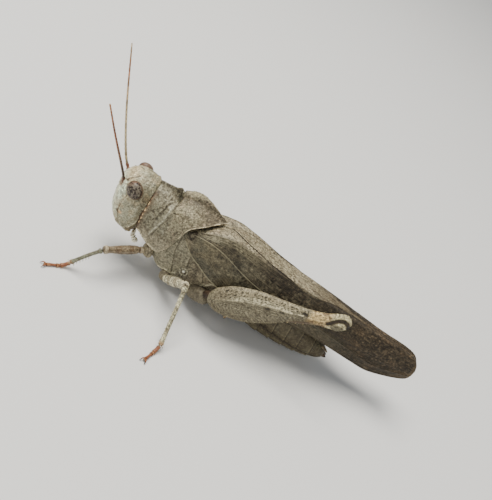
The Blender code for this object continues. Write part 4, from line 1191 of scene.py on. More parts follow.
ABDOMEN = ((18.3, -7.0, 1.5, 2.2), (18.8, -7.2, 1.5, 2.35), (20.5, -7.9, 1.5, 2.38),
           (24.0, -8.7, 0.6, 2.42), (28.0, -9.1, -0.6, 2.4), (32.0, -9.0, -2.6, 2.15),
           (35.0, -8.55, -4.1, 1.8), (37.0, -7.9, -5.2, 1.3), (37.8, -7.45, -5.8, 0.85),
           (38.1, -7.2, -6.2, 0.4))
RING_STEP = 2.14


def hind_body():
    """Nine overlapping rings, each of an upper and a lower plate with a fold between."""
    keys = np.linspace(ABDOMEN[0][0], ABDOMEN[-1][0], ABDOMEN_GRID[0])
    rings = upright_rings(keys, 0, *curve(ABDOMEN, keys).T, ABDOMEN_GRID[1], 2.15)
    out = facing(rings)
    p = right_side(rings)
    x, z = p[..., 0], p[..., 2]
    step = (x - 18.55 + 0.12 * (z + 4)) / RING_STEP
    share = step - np.floor(step)
    lap = ease(0.0, 0.86, share) * ease(1.0, 0.93, share)
    edge = band(share, 0.84, 0.93, 0.025)
    gap = ease(0.93, 0.97, share) + ease(0.05, 0.0, share)
    low, high = np.moveaxis(curve(ABDOMEN, x)[..., :2], -1, 0)
    level = (z - low) / (high - low)
    fold = hump(level, 0.3, 0.045)
    height = 0.09 * lap + 0.03 * edge - 0.07 * gap - 0.12 * fold + 0.05 * hump(level, 1, 0.06)
    height += 0.02 * waver(p, 0.4, 71) + 0.01 * grains(p, 0.24, 72)
    breath = np.hypot((share - 0.3) * RING_STEP, (level - 0.39) * (high - low))
    height += 0.05 * hump(breath, 0.13, 0.05) - 0.06 * hump(breath, 0, 0.07)
    height -= 0.08 * fold * (0.5 + 0.5 * np.cos(x * 14))
    colour = coats(plain(p, (0.15, 0.125, 0.082)),
        ((0.2, 0.18, 0.125), ease(0.0, 0.5, waver2(p, 0.8, 73)) * 0.6),
        ((0.08, 0.06, 0.04), ease(0.1, 0.5, waver2(p, 0.6, 74)) * 0.5),
        ((0.26, 0.225, 0.15), edge * 0.55),
        ((0.06, 0.045, 0.03), np.clip(gap, 0, 1) * 0.6),
        ((0.06, 0.045, 0.032), fold * 0.7),
        ((0.22, 0.19, 0.13), ease(0.27, 0.2, level) * 0.6),
        ((0.05, 0.035, 0.025), hump(breath, 0, 0.1) * 0.8))
    build("hind_body", [shell(lifted(rings, height, out), tint=colour,
                              specks=0.35, flecks=0.3,
                              growth=ease(28, 36, x))],
          FINISH["abdomen"], "abdomen_cuticle", ["abdomen"], sharp=0)


def tail():
    """Two pairs of hard hooked valves, and the short feelers above them."""
    t = np.linspace(0, 1, 30)
    parts = []
    for side in (-1, 1):
        for lift in (-1, 1):
            route = joined(37.6 + 1.2 * t, side * (0.22 + 0.08 * t),
                           -6.75 - 0.22 * t + lift * (0.2 + 0.02 * t - 0.28 * t**3))
            rings, ring = stem(route, ((0, 0.3, 0.24), (0.6, 0.2, 0.17), (0.9, 0.1, 0.1),
                                       (1, 0.02, 0.02)), 1, 20)
            colour = paint(plain(rings, (0.16, 0.1, 0.06)), (0.02, 0.014, 0.01),
                           ease(0.5, 0.95, ring))
            parts.append(shell(rings, tint=colour))
    build("laying_valves", parts, FINISH["valve"], "valve_cuticle", ["ovipositor"])
    for side, where in SIDES:
        route = path_through([(37.1, 0.75, -5.05), (37.7, 0.98, -5.15), (38.2, 1.04, -5.42)],
                             26) * (1, side, 1)
        rings, _ = stem(route, ((0, 0.22), (0.5, 0.2), (0.85, 0.11), (1, 0.02)), 1, 20)
        colour = paint(plain(rings, (0.24, 0.19, 0.12)), (0.1, 0.07, 0.045),
                       0.5 + 0.5 * waver2(rings, 0.3, 75))
        build(where + "_tail_feeler", [shell(rings, tint=colour)], FINISH["abdomen"],
              "abdomen_cuticle", ["cercus_" + where])


saddle_plate()
side_plates()
hind_body()
tail()


# ---------------------------------------------------------------- wings

# x, then y and z of the lower edge, y and z of the bend between flank and back
TEGMEN = ((11.5, 3.68, 1.2, 3.2, 2.3), (13.2, 3.8, -0.5, 2.75, 3.0),
          (15.0, 3.88, -1.45, 2.55, 3.7), (17.0, 3.95, -2.5, 2.35, 4.2),
          (19.2, 3.95, -3.15, 2.15, 4.1), (21.0, 3.95, -3.4, 2.02, 3.87),
          (24.0, 3.85, -3.1, 1.85, 3.35), (28.5, 3.6, -2.7, 1.6, 2.85),
          (33.5, 3.25, -2.4, 1.3, 2.65), (37.2, 2.9, -2.8, 1.15, 2.35),
          (41.5, 2.2, -3.55, 0.95, 2.05), (44.0, 1.75, -3.9, 0.85, 1.95),
          (46.8, 1.4, -3.3, 0.86, 1.85), (48.8, 1.2, -2.5, 0.86, 1.4),
          (49.7, 1.05, -1.9, 0.86, 0.6), (BODY_LENGTH, 0.95, -1.2, 0.85, -0.1))
FREE_EDGE = ((11.5, -1.9), (13.4, -1.1), (15.2, -0.1), (17.0, 0.6), (28.0, 0.75), (36.0, 0.3),
             (41.0, -0.12), (BODY_LENGTH, -0.12))
WING_LAP = 0.34
WING_WALL = 0.13
WING_ROWS, WING_COLUMNS = 330, 108


def wing_grid(side, inset):
    """Rows of a folded fore wing along x, from its lower edge over the bend to its free edge,
    with each point's level: 0 to 1 up the flank and 1 to 2 across the back."""
    x = even_keys(TEGMEN, WING_ROWS)
    x = np.linspace(11.5, 48.6, WING_ROWS - 40).tolist() + x[x > 48.6].tolist()
    x = np.interp(np.linspace(0, 1, WING_ROWS), np.linspace(0, 1, len(x)), x)
    edge_y, edge_z, bend_y, bend_z = curve(TEGMEN, x).T[..., None]
    free_y = curve(FREE_EDGE, x)
    top = bend_z - inset
    t = np.linspace(0, 0.97, 90)[None, :]
    z = edge_z + (top - edge_z) * t
    place = (z - edge_z) / (bend_z - edge_z)
    bulge = 0.22 * np.sin(math.pi * place) * ease(1.2, 1.8, bend_z - edge_z)
    flank = joined(x[:, None], edge_y + (bend_y - edge_y) * place**1.7 + bulge - inset, z,
                   t / 0.97)
    s = np.linspace(0.1, 1, 60)[None, :]
    start, end = bend_y - inset, -free_y
    if side > 0:
        tucked = np.maximum(0.7 - bend_y, np.minimum(free_y, 0.0) + 0.12)
        end = end + (tucked - end) * ease(-0.6, -0.3, free_y)
    y = start + (end - start) * s
    sunk = np.minimum(1.0, (bend_y - y) / (bend_y - free_y - 0.12))
    layer = WING_LAP * np.minimum(1.0, (bend_z - edge_z) / 4.0)
    z = top - layer * sunk if side > 0 else top + 0.12 * np.sin(math.pi * s)
    back = joined(x[:, None], y, z, 1 + s)
    rough = np.concatenate((flank, back), axis=1)
    rows = []
    for row in rough:
        length = np.concatenate(([0.0], np.cumsum(np.linalg.norm(np.diff(row[:, :3], axis=0),
                                                                 axis=1))))
        even = np.linspace(0, length[-1], WING_COLUMNS)
        rows.append(np.stack([np.interp(even, length, row[:, n]) for n in range(4)], -1))
    rows = np.array(rows)
    for _ in range(5):
        rows[:, 1:-1, :3] = (rows[:, :-2, :3] + 2 * rows[:, 1:-1, :3] + rows[:, 2:, :3]) / 4
    return rows[..., :3] * (1, side, 1), rows[..., 3]


# x, level, half length, half height and depth of the dark blots on the flank
WING_BLOTS = ((17.1, 0.83, 1.3, 0.09, 0.5), (19.4, 0.73, 1.0, 0.08, 0.5),
              (14.6, 0.84, 0.7, 0.05, 0.5), (26.0, 0.86, 2.2, 0.07, 0.6),
              (23.2, 0.62, 1.2, 0.09, 0.4), (25.0, 0.99, 1.3, 0.06, 0.6))


def wing_tint(p, level):
    """Colour of the fore wing at places p on it: pale along the bend and back, dark behind."""
    x = p[..., 0]
    flat = joined(x * 0.5, level * 6, 0)
    cloud = waver2(flat, 1.1, 81)
    blot = waver2(flat, 0.62, 82)
    fine = waver2(p, 0.42, 83)
    cells = pebbles(joined(x * 0.8 + 0.2 * fine, level * 4.4, 0), 0.5, 85)
    grit = pebbles(p, 0.27, 87)
    border = 1.26 - 0.24 * ease(22, 30, x) + 0.7 * ease(31, 40, x) + 0.4 * ease(39, 42, x)
    dark = ease(20.5, 28.5, x + 5 * (level - 0.5)) * ease(0.25, 0.5, level)
    dark = dark * ease(border, border - 0.05, level)
    tail = ease(36, 42, x)
    netted = band(x, 16, 32, 2.5) * band(level, 0.25, 0.95, 0.12)
    core = ease(0.46, 0.22, cells)
    pepper = pebbles(p, 0.36, 88)
    colour = coats(plain(p, (0.135, 0.116, 0.081)),
        ((0.22, 0.19, 0.13), ease(20, 13, x) * band(level, 0.35, 0.95, 0.15)),
        ((0.13, 0.12, 0.09), ease(-0.1, 0.4, cloud) * 0.7),
        ((0.05, 0.04, 0.028), dark * 0.88),
        ((0.125, 0.105, 0.073), ease(0.4, 0.1, level) * ease(17, 24, x) * 0.8),
        ((0.07, 0.054, 0.035), tail * 0.85),
        ((0.04, 0.03, 0.02), tail * ease(0.0, 0.4, blot) * 0.6),
        ((0.17, 0.12, 0.075), tail * ease(0.0, 0.5, -cloud) * 0.4),
        ((0.225, 0.2, 0.145), netted * ease(0.3, 0.46, cells) * ease(-0.2, 0.3, -fine) * 0.45),
        ((0.045, 0.036, 0.026), netted * core * ease(-0.4, 0.2, fine) * 0.75),
        ((0.045, 0.036, 0.026), netted * ease(0.2, 0.45, blot) * ease(-0.3, 0.2, fine) * 0.5),
        ((0.06, 0.048, 0.034), (1 - netted) * core * ease(0.0, 0.4, fine) * 0.5))
    for cx, cl, wide, tall, depth in WING_BLOTS:
        spot = np.hypot((x - cx) / wide, (level - cl) / tall) + 0.9 * blot + 0.5 * fine
        colour = paint(colour, (0.035, 0.028, 0.02), ease(1.0, 0.55, spot) * depth)
    streak = ease(0.86, 0.97, level + 0.08 * cloud) * ease(25, 20, x) * ease(1.5, 1.2, level)
    patch = np.hypot((x - 14.6) / 1.5, (level - 0.92) / 0.08) + 0.5 * fine
    beyond = ease(border - 0.05, border, level + 0.16 * ease(26, 21, x))
    colour = coats(colour,
        ((0.24, 0.21, 0.147), streak * 0.55),
        ((0.07, 0.055, 0.038), streak * ease(0.36, 0.18, pepper) * 0.75),
        ((0.4, 0.36, 0.27), ease(1.1, 0.5, patch) * 0.5),
        ((0.232, 0.204, 0.145), beyond * ease(38, 24, x) * 0.85),
        ((0.23, 0.192, 0.136), beyond * ease(24, 38, x) * ease(44, 38, x) * 0.8),
        ((0.16, 0.12, 0.08), beyond * ease(38, 43, x) * 0.75),
        ((0.17, 0.13, 0.088), beyond * ease(0.0, 0.35, fine) * 0.6),
        ((0.06, 0.045, 0.03), ease(0.3, 0.14, pepper) * ease(24, 18, x) * ease(0.3, 0.6, level)
         * 0.8),
        ((0.07, 0.054, 0.036), beyond * ease(0.38, 0.2, pepper) * 0.75),
        ((0.09, 0.068, 0.046), beyond * ease(27, 34, x) * ease(0.15, 0.4, blot) * 0.75),
        ((0.5, 0.44, 0.33), beyond * ease(34, 28, x) * ease(0.4, 0.6, grit) * 0.4))
    colour = paint(colour * 1.1, (0.05, 0.04, 0.028), ease(0.4, 0.1, grit) * (0.3 + 0.15 * dark))
    hook = np.abs(np.hypot((x - 12.05) / 0.4, (level - 0.82) / 0.24) - 1)
    # slot: a thin dark line on the bend just under the pronotum's rear margin, painted shadow of
    # that margin
    slot = hump(level, 0.985 + 0.01 * (x - 12.8), 0.012) * band(x, 12.9, 14.5, 0.15)
    colour = coats(colour,
        ((0.24, 0.19, 0.135), ease(0.5, 0.7, grit) * (dark + tail) * 0.22),
        ((0.2, 0.15, 0.09), ease(49.0, 49.8, x) * 0.6),
        ((0.3, 0.255, 0.18), ease(13.2, 12.2, x) * 0.5),
        # a dark ring at the wing's base, and the painted shadow line under the pronotum's margin
        ((0.045, 0.03, 0.02), ease(0.5, 0.2, hook) * 0.8 + slot * 0.9))
    return colour


# girth, paleness at the base and tip, then x and level along each long vein
LONG_VEINS = (
    (2.0, 1.0, 0.2, ((11.6, 0.004), (17, 0.004), (30, 0.004), (44, 0.004), (49.9, 0.02))),
    (1.0, 0.15, 0.1, ((12.1, 0.34), (15.4, 0.36), (18.0, 0.22), (20.0, 0.12), (23, 0.05))),
    (1.0, 0.25, 0.1, ((12.2, 0.8), (13.2, 0.66), (14.6, 0.5), (18.2, 0.26), (23, 0.14),
                      (34, 0.1), (42, 0.14), (47, 0.12))),
    (1.5, 0.6, 0.1, ((12.2, 0.88), (13.3, 0.83), (17.2, 0.7), (24.2, 0.51), (31, 0.4),
                     (38, 0.33), (44, 0.27), (49.3, 0.3))),
    (1.3, -0.45, 0.0, ((13.5, 0.855), (17.2, 0.735), (24.2, 0.545), (31, 0.44), (38, 0.38),
                     (44, 0.34), (49.4, 0.37))),
    (1.0, 0.12, 0.05, ((13.2, 0.9), (18, 0.81), (24.2, 0.68), (31, 0.57), (38, 0.51),
                       (49.5, 0.5))),
    (1.0, 0.12, 0.05, ((13.2, 0.94), (20, 0.89), (28, 0.78), (36, 0.69), (44, 0.66),
                       (49.6, 0.65))),
    (1.0, 0.15, 0.05, ((14, 0.97), (24, 0.95), (36, 0.88), (46, 0.84), (49.5, 0.84))),
    (1.3, 0.3, 0.1, ((13.4, 1.03), (20, 1.02), (34, 1.02), (48, 1.02))),
    (1.7, -1.0, -0.4, ((16.3, 1.78), (17, 1.63), (18.5, 1.41), (20.3, 1.26), (22.1, 1.17),
                       (25.0, 1.09), (28.2, 1.04), (31, 1.02), (33, 1.08), (35.5, 1.32))),
    (1.0, 0.2, 0.1, ((20, 1.62), (28, 1.55), (38, 1.5), (47, 1.5))),
    (1.4, 0.6, 0.3, ((15.5, 1.985), (22, 1.99), (38, 1.99), (49.6, 1.99))),
)
# levels of the lines that bound the net of cross veins, by x
NET_BOUNDS = (((12.4, 0.01), (49.6, 0.01)),
              ((12.4, 0.55), (14.6, 0.5), (18.2, 0.26), (23, 0.14), (34, 0.1), (49.5, 0.14)),
              LONG_VEINS[3][3], LONG_VEINS[5][3], LONG_VEINS[6][3], LONG_VEINS[7][3],
              ((13.4, 1.03), (48, 1.02)),
              ((14.0, 1.5), (18.5, 1.39), (22.1, 1.22), (47.5, 1.15)),
              ((14.0, 1.75), (20, 1.62), (47, 1.5)), ((14.0, 1.97), (49.5, 1.98)))
CELL = 0.46


class WingMap:
    """Finds the place on a fore wing for an x and a level, a little above its surface."""

    def __init__(self, grid, level, out):
        self.x = grid[:, 0, 0]
        self.levels = np.linspace(0, 2, 241)
        table = [np.stack([np.interp(self.levels, level[n], values[n, :, k])
                           for values in (grid, out) for k in range(3)], -1)
                 for n in range(len(grid))]
        self.table = np.array(table)
        steps = np.linalg.norm(np.diff(self.table[..., :3], axis=1), axis=-1)
        self.flank, self.back = steps[:, :120].sum(1), steps[:, 120:].sum(1)

    def place(self, x, level, lift):
        """Points a lift above the surface, for each x and level."""
        row = np.interp(x, self.x, np.arange(len(self.x)))
        column = np.clip(np.asarray(level) / 2 * 240, 0, 239.999)
        i, j = np.clip(row.astype(int), 0, len(self.x) - 2), column.astype(int)
        a, b = (row - i)[:, None], (column - j)[:, None]
        t = self.table
        found = ((t[i, j] * (1 - a) + t[i + 1, j] * a) * (1 - b)
                 + (t[i, j + 1] * (1 - a) + t[i + 1, j + 1] * a) * b)
        return found[:, :3] + found[:, 3:] * lift

    def height(self, x, level):
        """Millimetres of wing to one level at x."""
        return np.interp(x, self.x, self.flank if level < 1 else self.back)


def vein_lines(wing, side, seed):
    """Chains of points for the long veins and for the net of small ones between them."""
    rng = np.random.default_rng(seed)
    chains, girths, pales, levels = [], [], [], []

    def add(x, level, girth, pale):
        chains.append(wing.place(x, level, 0.012))
        girths.append(girth + 0 * x)
        pales.append(pale + 0 * x)
        levels.append(level + 0 * x)

    for girth, pale_base, pale_tip, route in LONG_VEINS:
        if side > 0 and pale_base < 0:
            pale_base, pale_tip, girth = -0.2, -0.2, 1.0
        x = np.linspace(route[0][0], route[-1][0], 150)
        level = curve(route, x)[:, 0]
        share = (x - 12) / 38
        add(x, level, girth * (1.1 - 0.5 * share), pale_base + (pale_tip - pale_base)
            * ease(0.15, 0.5, share))
    for lower, upper in zip(NET_BOUNDS, NET_BOUNDS[1:]):
        start = max(lower[0][0], upper[0][0])
        stop = min(lower[-1][0], upper[-1][0])
        count = int((stop - start) / CELL)
        x = np.linspace(start, stop, count)
        low, high = curve(lower, x)[:, 0], curve(upper, x)[:, 0]
        wide = (high - low) * wing.height(x, low.mean())
        lanes = max(1, int(round(np.percentile(wide, 65) / CELL)))
        rows = []
        for lane in range(lanes + 1):
            share = lane / lanes
            inside = 0 < lane < lanes
            level = low + (high - low) * share
            wave = rng.uniform(-0.24, 0.24, count) + 0.16 * (-1.0)**np.arange(count)
            level = level + inside * wave * (high - low) / lanes
            shifted = x + inside * rng.uniform(-0.12, 0.12, count)
            rows.append((shifted, level))
            if inside:
                kept = wide / lanes > 0.24
                for n in np.split(np.arange(count), np.flatnonzero(~kept)):
                    if len(n) > 2:
                        add(shifted[n], level[n], 0.55, 0.1)
        for lane in range(lanes):
            (x0, level0), (x1, level1) = rows[lane], rows[lane + 1]
            for n in range(lane % 2, count, 2 if lanes > 1 else 1):
                if wide[n] > 0.12:
                    add(np.array((x0[n], x1[n])), np.array((level0[n], level1[n])), 0.5, 0.1)
    return chains, girths, pales, levels


def fore_wings():
    """The leathery fore wings, laid over one another, and the net of veins on each."""
    for side, where in SIDES:
        outer, level = wing_grid(side, 0.0)
        inner, _ = wing_grid(side, WING_WALL)
        out = facing(outer, wrap=False)
        flat = joined(outer[..., 0] * 0.6, outer[..., 1], outer[..., 2])
        pucker = 0.03 * waver(flat, 0.5, 84 + side) + 0.03 * waver(flat, 1.4, 86 + side)
        rib = hump(level, curve(LONG_VEINS[3][3], outer[..., 0])[..., 0], 0.03) * 0.05
        pucker = (pucker + rib) * ease(0.0, 0.06, level) * ease(2.0, 1.94, level)
        outer, inner = lifted(outer, pucker, out), lifted(inner, pucker, out)
        colour = wing_tint(outer, level)
        build(where + "_fore_wing", [leaf(outer, inner, tint=colour, specks=0.18, flecks=0.4)],
              FINISH["wing"], "tegmen_membrane", ["tegmen_" + where], sharp=0)
        chains, girths, pales, levels = vein_lines(WingMap(outer, level, out), side, 90 + side)
        net = line_mesh("vein_lines", chains, girth=girths, pale=pales, level=levels)
        mesh = grow(where + "_wing_veins", net, VEINS,
                    {"Width": 0.042 * MM, "Sides": 6}, FINISH["vein"])
        p, pale = points_of(mesh), read_mark(mesh, "pale")
        colour = wing_tint(p, read_mark(mesh, "level"))
        colour = paint(colour * 1.04, (0.46, 0.415, 0.3), np.maximum(pale, 0) * 0.55
                       * ease(40, 24, p[:, 0]))
        colour = paint(colour, (0.02, 0.015, 0.01), np.maximum(-pale, 0))
        put_mark(mesh, "tint", colour)
        show(where + "_wing_veins", mesh, FINISH["vein"], "tegmen_membrane")


def hind_wings():
    """Thin pleated fans, packed flat inside the fore wings."""
    for side, where in SIDES:
        x = np.linspace(18.8, 46.3, 90)[:, None]
        t = np.linspace(0, 1, 85)[None, :]
        edge_y, edge_z, bend_y, bend_z = curve(TEGMEN, x[:, 0]).T[..., None]
        low, high = edge_z + 0.45, bend_z - 1.75
        z = low + (high - low) * t
        place = (z - edge_z) / (bend_z - edge_z)
        y = np.maximum(edge_y + (bend_y - edge_y) * place**1.7 - 0.78, 0.68)
        pleat = 0.1 * (2 * np.abs((t * 14) % 1 - 0.5) - 0.5)
        outer = joined(x, y + pleat, z) * (1, side, 1)
        inner = outer - (0, side * 0.07, 0)
        colour = coats(plain(outer, (0.035, 0.03, 0.028)),
            ((0.4, 0.36, 0.2), ease(43.5, 45.5, outer[..., 0]) * 0.8))
        build(where + "_hind_wing", [leaf(outer, inner, tint=colour)], FINISH["fan"],
              "hindwing_membrane", ["hindwing_" + where], sharp=30)


fore_wings()
hind_wings()


# ---------------------------------------------------------------- legs

# side, name, hip, knee, ankle and toe as on the right
WALKING_LEGS = (
    (-1, "fore", (7.45, 3.1, -4.7), (2.85, 7.55, -4.5), (-0.05, 8.7, -8.4),
     (-2.6, 10.54, -9.25)),
    (1, "fore", (7.6, 3.1, -4.75), (4.7, 7.8, -4.2), (3.4, 9.6, -8.4), (1.7, 11.9, -9.25)),
    (-1, "mid", (12.0, 3.75, -6.65), (14.72, 7.85, -2.28), (15.83, 13.6, -8.5),
     (14.95, 16.2, -9.25)),
    (1, "mid", (12.3, 3.75, -6.65), (15.6, 7.9, -2.6), (17.6, 12.6, -8.5),
     (18.2, 15.5, -9.25)))
# start, size and tint of the hip block, then the radius of femur and tibia
LEG_BUILDS = {"fore": ((8.3, 2.5, -4.55), 1.0, (0.34, 0.295, 0.215), 0.56, 0.31),
              "mid": ((11.6, 2.8, -6.75), 0.8, (0.27, 0.235, 0.175), 0.62, 0.33)}
LEG_COLOURS = {
    "fore": {"femur": (0.27, 0.215, 0.15), "ends": (0.5, 0.43, 0.32), "band": (0.17, 0.11, 0.07),
             "shin": (0.25, 0.247, 0.184), "shade": (0.15, 0.115, 0.08)},
    "mid": {"femur": (0.5, 0.46, 0.345), "ends": (0.58, 0.53, 0.4), "band": (0.2, 0.155, 0.105),
            "shin": (0.48, 0.445, 0.325), "shade": (0.22, 0.175, 0.12)}}
FOOT_RED = (0.3, 0.138, 0.08)
TOE_SHAPE = ((0, 0.3), (0.08, 0.85), (0.5, 0.92), (0.9, 1.12), (0.97, 1.0), (1, 0.3))
# first and last point on the way along the foot, thickness and number of pads of each piece
TOE_PIECES = ((0, 52, 0.27, 3), (50, 70, 0.24, 1), (68, 120, 0.2, 0))
PAD_SHAPE = ((0, 0.05), (0.3, 0.13), (0.7, 0.17), (1, 0.03))
CLAW_SHAPE = ((0, 0.1), (0.4, 0.085), (0.8, 0.05), (1, 0.01))


def straight(start, end, count):
    """Points spaced evenly from start to end."""
    share = np.linspace(0, 1, count)[:, None]
    return np.array(start) * (1 - share) + np.array(end) * share


def bowed(start, end, count, bow):
    """A straight run with a slight bow in the middle."""
    share = np.linspace(0, 1, count)[:, None]
    return straight(start, end, count) + np.array(bow) * np.sin(math.pi * share)


def thorns(name, route, down, along, rows, slot, slimness):
    """Spines on both sides of a shin, pale with dark tips.

    Each row has the point of the route, how far the spine leans sideways, down and along,
    the distance of its root from the route and its length."""
    across = limb_frames(route)[0]
    roots, leans, sizes = [], [], []
    for hand in (-1, 1):
        for spot, beside, below, onward, off, size in rows:
            way = unit(across[spot] * hand * beside + down[spot] * below + along * onward)
            roots.append([route[spot] + way * off])
            leans.append(way)
            sizes.append(size * MM)
    mesh = line_mesh(name + "_roots", roots, lean=[np.array(leans)], size=[np.array(sizes)])
    made = grow(name, mesh, SPINES, {"Slimness": slimness, "Sides": 7}, FINISH["shin"])
    along = read_mark(made, "along")
    colour = np.repeat([[0.6, 0.48, 0.3]], len(along), axis=0)
    put_mark(made, "tint", paint(colour, (0.02, 0.012, 0.008), ease(0.5, 0.75, along)))
    show(name, made, FINISH["shin"], slot)


def hip_block(where, kind, start, end, size, colour, ringed=1.0):
    """A short ridged block from the trunk to the femur."""
    share = np.linspace(-0.12, 1.06, 60)
    route = start * (1 - share[:, None]) + end * share[:, None]
    rings, ring = stem(route, ((-0.12, 0.3), (0.0, 0.8), (0.25, 1.0), (0.62, 0.98), (0.85, 0.84),
                               (1.0, 0.6), (1.06, 0.06)), size, 72, 2.3, share)
    height = ringed * (0.03 * hump(ring, 0.82, 0.05) - 0.04 * hump(ring, 0.72, 0.05))
    height += 0.04 * waver(rings, 0.6, 101) + 0.012 * grains(rings, 0.22, 102)
    tint = paint(plain(rings, colour), np.array(colour) * 0.45,
                 ease(0.0, 0.5, waver2(rings, 0.6, 103)) * 0.6)
    tint = coats(tint,
        ((0.4, 0.34, 0.25), hump(ring, 0.82, 0.06) * 0.2 * ringed),
        ((0.09, 0.06, 0.04), hump(ring, 0.72, 0.05) * 0.6 * ringed))
    build(f"{where}_{kind}_coxa", [shell(lifted(rings, height), tint=tint, specks=0.3,
                                         growth=band(ring, 0.1, 0.8, 0.1))],
          FINISH["coxa"], "coxa_cuticle", [f"coxa_{kind}_{where}"], sharp=0)


# share of the length, half width, half height
UPPER_SHAPE = ((0, 0.3, 0.3), (0.02, 0.68, 0.7), (0.07, 0.84, 0.9), (0.105, 0.78, 0.84),
               (0.125, 0.62, 0.68), (0.16, 0.84, 0.92), (0.34, 0.98, 1.1), (0.6, 0.92, 1.02),
               (0.84, 0.74, 0.84), (0.92, 0.84, 0.98), (0.975, 0.78, 0.86), (1.0, 0.12, 0.16))
LOWER_SHAPE = ((0, 0.3), (0.02, 1.05), (0.06, 1.2), (0.1, 1.0), (0.14, 0.86), (0.5, 0.84),
               (0.86, 0.86), (0.95, 1.08), (0.985, 1.02), (1.0, 0.3))
HIND_SHAPE = ((0, 0.3, 0.3), (0.015, 0.95, 1.0), (0.05, 1.12, 1.3), (0.085, 0.9, 0.95),
              (0.11, 0.84, 0.9), (0.5, 0.8, 0.84), (0.86, 0.84, 0.86), (0.95, 1.05, 1.1),
              (0.99, 0.98, 1.0), (1, 0.3, 0.3))
SHIN_ROWS, HIND_SHIN_ROWS = 110, 150


def upper_leg(where, kind, mirror, hip, knee, radius):
    """Trochanter, ridged femur and the two flaps that hold the knee."""
    tone = LEG_COLOURS[kind]
    hip, knee = np.array(hip) * mirror, np.array(knee) * mirror
    share = np.concatenate((np.linspace(0, 0.16, 26)[:-1], np.linspace(0.16, 1, 84)))
    route = hip * (1 - share[:, None]) + knee * share[:, None]
    rings, ring = stem(route, UPPER_SHAPE, radius, 84, 2.2, share)
    angle = turns(84) + 0 * ring
    shaft = band(ring, 0.15, 0.93, 0.02)
    ribs = np.abs(np.cos(angle * 3 + 0.5))**10
    height = shaft * (0.045 * ribs - 0.02) + 0.012 * grains(rings, 0.2, 104)
    height += 0.02 * waver(rings, 0.5, 105)
    flap = band(ring, 0.9, 0.985, 0.01) * np.abs(np.cos(angle))**2
    height += 0.07 * flap - 0.05 * hump(ring, 0.89, 0.008)
    tint = plain(rings, tone["femur"])
    cloud = waver2(rings, 0.55, 106 + len(kind))
    bands = ease(0.25, 0.6, np.cos((ring * 3.4 - 0.2) * 2 * math.pi) + 0.8 * cloud)
    tint = coats(tint,
        (tone["band"], shaft * bands * 0.55),
        (tone["band"], ease(0.1, 0.6, cloud) * 0.35),
        (tone["ends"], ease(0.15, 0.1, ring) * 0.7 + ease(0.9, 0.93, ring) * 0.75),
        (tone["ends"], shaft * ribs * 0.3),
        ((0.12, 0.06, 0.035), hump(ring, 0.125, 0.012) * 0.85),
        ((0.1, 0.05, 0.03), hump(ring, 0.89, 0.01) * 0.8),
        ((0.07, 0.045, 0.03), ease(0.97, 0.99, ring) * 0.6))
    build(f"{where}_{kind}_femur",
          [shell(lifted(rings, height), tint=tint, specks=0.7 * shaft + 0.2,
                 flecks=0.4 * shaft, growth=shaft)],
          FINISH[kind], kind + "_femur_cuticle", [f"femur_{kind}_{where}"], sharp=0)


def lower_leg(where, kind, mirror, knee, ankle, radius, drop):
    """A slim tibia with two rows of spines beneath and four spurs at its end."""
    tone = LEG_COLOURS[kind]
    knee, ankle = np.array(knee) * mirror, np.array(ankle) * mirror
    along = unit(ankle - knee)
    start = knee + drop * mirror
    route = bowed(start, ankle, SHIN_ROWS, (0, 0, 0.14))
    rings, ring = stem(route, LOWER_SHAPE, radius, 60, 2.1)
    angle = turns(60) + 0 * ring
    height = 0.02 * np.abs(np.cos(angle * 2))**8 + 0.012 * waver(rings, 0.4, 107)
    height -= 0.04 * hump(ring, 0.1, 0.012)
    tint = plain(rings, tone["shin"])
    cloud = waver2(rings, 0.6, 108)
    tint = coats(tint,
        (tone["shade"], ease(0.15, 0.5, cloud) * 0.5),
        (tone["shade"], (band(ring, 0.36, 0.44, 0.03) + band(ring, 0.7, 0.76, 0.03)) * 0.45),
        (tone["band"], hump(ring, 0.1, 0.02) * 0.7),
        ((0.34, 0.2, 0.11), ease(0.9, 0.97, ring) * 0.7))
    build(f"{where}_{kind}_tibia",
          [shell(lifted(rings, height), tint=tint, specks=0.45,
                 growth=ease(0.1, 0.2, ring))],
          FINISH[kind], "tibia_cuticle", [f"tibia_{kind}_{where}"], sharp=0)
    rows = [(int(SHIN_ROWS * (0.42 + 0.095 * n)), 0.75, 1, 0.7, radius * 0.45, size)
            for n, size in enumerate((0.5, 0.5, 0.5, 0.5, 0.5, 0.62))]
    thorns(f"{where}_{kind}_spines", route, -limb_frames(route)[1], along,
           rows + [(-4, 1, -0.5, 1.1, radius * 0.5, 0.55)], "tibia_cuticle", 0.16)


